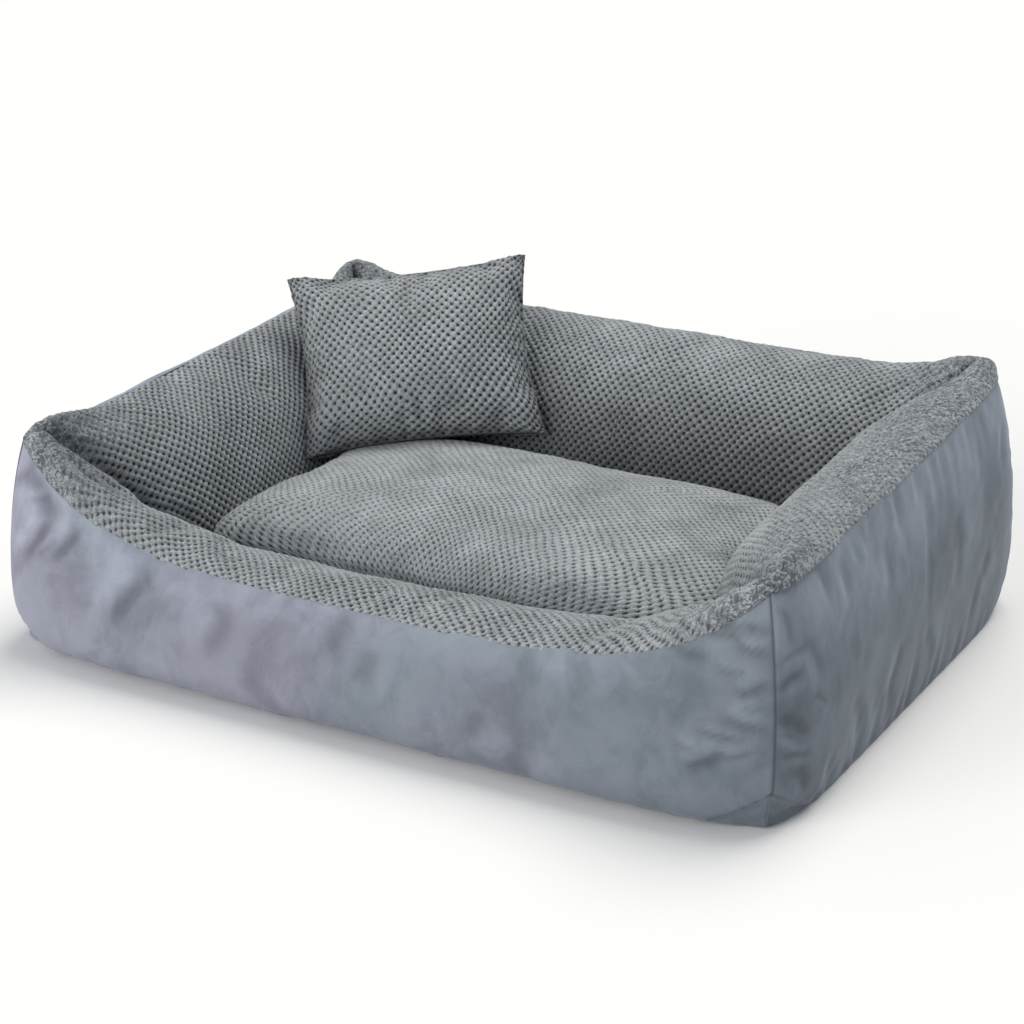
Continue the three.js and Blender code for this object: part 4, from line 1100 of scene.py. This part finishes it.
def makeFloor():
    top, low = floorGrid(floorCloth["top"]), floorGrid(floorCloth["low"])
    points, faces = closedSheet(top, low)
    mesh = meshOf("floorCloth", points, faces, flat=points[:, :2])
    cloth = newPiece("floor_cloth", mesh, oxford, "bed_body", ["floor_panel"])
    pitch, radius = floorCloth["dotPitch"], floorCloth["dotRadius"]
    rows = np.arange(-(halfWidth // pitch) + 0.5, halfWidth // pitch) * pitch
    columns = np.arange(-(halfLength // pitch) + 0.5, halfLength // pitch) * pitch
    x, y = np.meshgrid(columns, rows)
    x = x + (np.arange(len(rows)) % 2 - 0.5)[:, None] * pitch / 2
    angle = np.linspace(0, 2 * np.pi, 8, endpoint=False)
    profile = np.array(floorCloth["dotProfile"])
    ring, drop = radius * profile[:, :1], profile[:, 1:] + np.zeros(8)
    dot = np.stack([ring * np.cos(angle), ring * np.sin(angle), drop], 2).reshape(-1, 3)
    middles = np.stack([x.ravel(), y.ravel(), np.zeros(x.size)], 1)
    one = gridFaces(4, 8, closeColumns=True)
    allFaces = (one[None] + np.arange(x.size)[:, None, None] * len(dot)).reshape(-1, 4)
    mesh = meshOf("floorDots", (middles[:, None] + dot[None]).reshape(-1, 3), allFaces, flip=True)
    weld(mesh)
    dots = newPiece("floor_grip_dots", mesh, rubber, "bed_body")
    print("floor is made")


makeFloor()


# Zips: a woven tape down each side, a spun nylon coil between them and a row of stitches in each tape.
zipShape = {
    "width": 22, "gap": 0.5, "thick": 0.7, "ripple": 0.12,
    "turn": 1.25, "coilHalf": 2.0, "coilRadius": 0.5, "coilLift": 0.75, "coilLean": 0.35,
    "stitch": 2.6, "stitchPitch": 3.5, "stitchAt": 8.2, "stitchRadius": 0.28, "stitchLift": 0.12,
    "matLength": 400, "overSeam": 2.2, "cushionLength": 150, "cushionRow": -0.62, "overCushion": 1.6,
}


def makeZip(prefix, along, up, middle, length, body):
    # Made flat, with X along the coil and Z out of the tape, then turned into place: each point is the
    # middle plus its three flat coordinates along the three axes.
    along, up = np.array(along, float), np.array(up, float)
    out = np.cross(along, up)

    def placed(points):
        p = np.asarray(points).reshape(-1, 3)
        return middle + p[:, :1] * along + p[:, 1:2] * up + p[:, 2:] * out

    half, edge, gap = length / 2, zipShape["width"] / 2, zipShape["gap"]
    x, y = np.meshgrid(np.linspace(-half, half, int(length / 3)), np.linspace(-edge, -gap, 9))
    ripple = zipShape["ripple"] * softNoise(x, y, 9, 700)
    tapes = [closedSheet(np.stack([x, side + y, zipShape["thick"] - zipShape["ripple"] + ripple], 2),
                         np.stack([x, side + y, np.full_like(x, 0.02)], 2)) for side in (0, edge + gap)]
    points = np.concatenate([part[0] for part in tapes])
    faces = np.concatenate([tapes[0][1], tapes[1][1] + len(tapes[0][0])])
    mesh = meshOf(f"{prefix}ZipTape", placed(points), faces, flat=points[:, :2])
    newPiece(f"{prefix}_zip_tapes", mesh, tapeCloth, body, [f"{prefix}_zip_tape"])

    # turns lean one way and then the other, as the two halves of the coil lock
    at = np.arange(-half + 1, half - 1, zipShape["turn"])
    lean = np.where(np.arange(len(at)) % 2, zipShape["coilLean"], -zipShape["coilLean"])
    base = np.full(len(at), zipShape["thick"] + zipShape["coilRadius"] * 0.8)
    across = np.full(len(at), zipShape["coilHalf"])
    starts, ends = np.stack([at - lean, -across, base], 1), np.stack([at + lean, across, base], 1)
    points, faces = rods(starts, ends, zipShape["coilLift"], zipShape["coilRadius"])
    mesh = meshOf(f"{prefix}ZipCoil", placed(points), faces)
    weld(mesh)
    newPiece(f"{prefix}_zip_coil", mesh, nylon, body)

    first = np.arange(-half + 2, half - 4, zipShape["stitchPitch"])
    rows = [np.stack([first, np.full(len(first), side * zipShape["stitchAt"]),
                      np.full(len(first), zipShape["thick"])], 1) for side in (-1, 1)]
    starts = np.concatenate(rows)
    ends = starts + [zipShape["stitch"], 0, 0]
    points, faces = rods(starts, ends, zipShape["stitchLift"], zipShape["stitchRadius"])
    mesh = meshOf(f"{prefix}ZipStitches", placed(points), faces)
    weld(mesh)
    newPiece(f"{prefix}_zip_stitches", mesh, thread, body)


def placeZips():
    # the mat's zip lies under the back edge of its seam, facing out and down
    down = np.array([0, -0.5, -0.866])
    down /= np.linalg.norm(down)
    seam = np.array([0, matShape["half"][1] * matShape["seamReach"], matShape["seam"]])
    middle = seam + np.cross([1, 0, 0], down) * zipShape["overSeam"]
    makeZip("mat", (1, 0, 0), down, middle, zipShape["matLength"], "mat")
    # the cushion's zip lies across its back, tilted as the cloth is there
    along, up, out, middle = cushionAxes()
    v, (_, halfY) = zipShape["cushionRow"], cushionShape["half"]
    high = cushionShape["thick"] * (1 - v * v) ** cushionShape["fullness"]
    slope = -2 * v * cushionShape["fullness"] * high / (1 - v * v) / halfY
    tilted = (up - slope * out) / math.hypot(1, slope)
    place = middle + up * halfY * v * (1 - cushionShape["waist"]) - out * (high + cushionShape["seam"])
    place = place + np.cross(-along, tilted) * zipShape["overCushion"]
    makeZip("cushion", -along, tilted, place, zipShape["cushionLength"], "cushion")


placeZips()
for prefix in ("mat", "cushion"):
    for part in ("zip_slider", "zip_pull"):
        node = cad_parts[f"{prefix}_{part}"]
        node.data.materials.clear()
        node.data.materials.append(zinc)
print("zips are made")
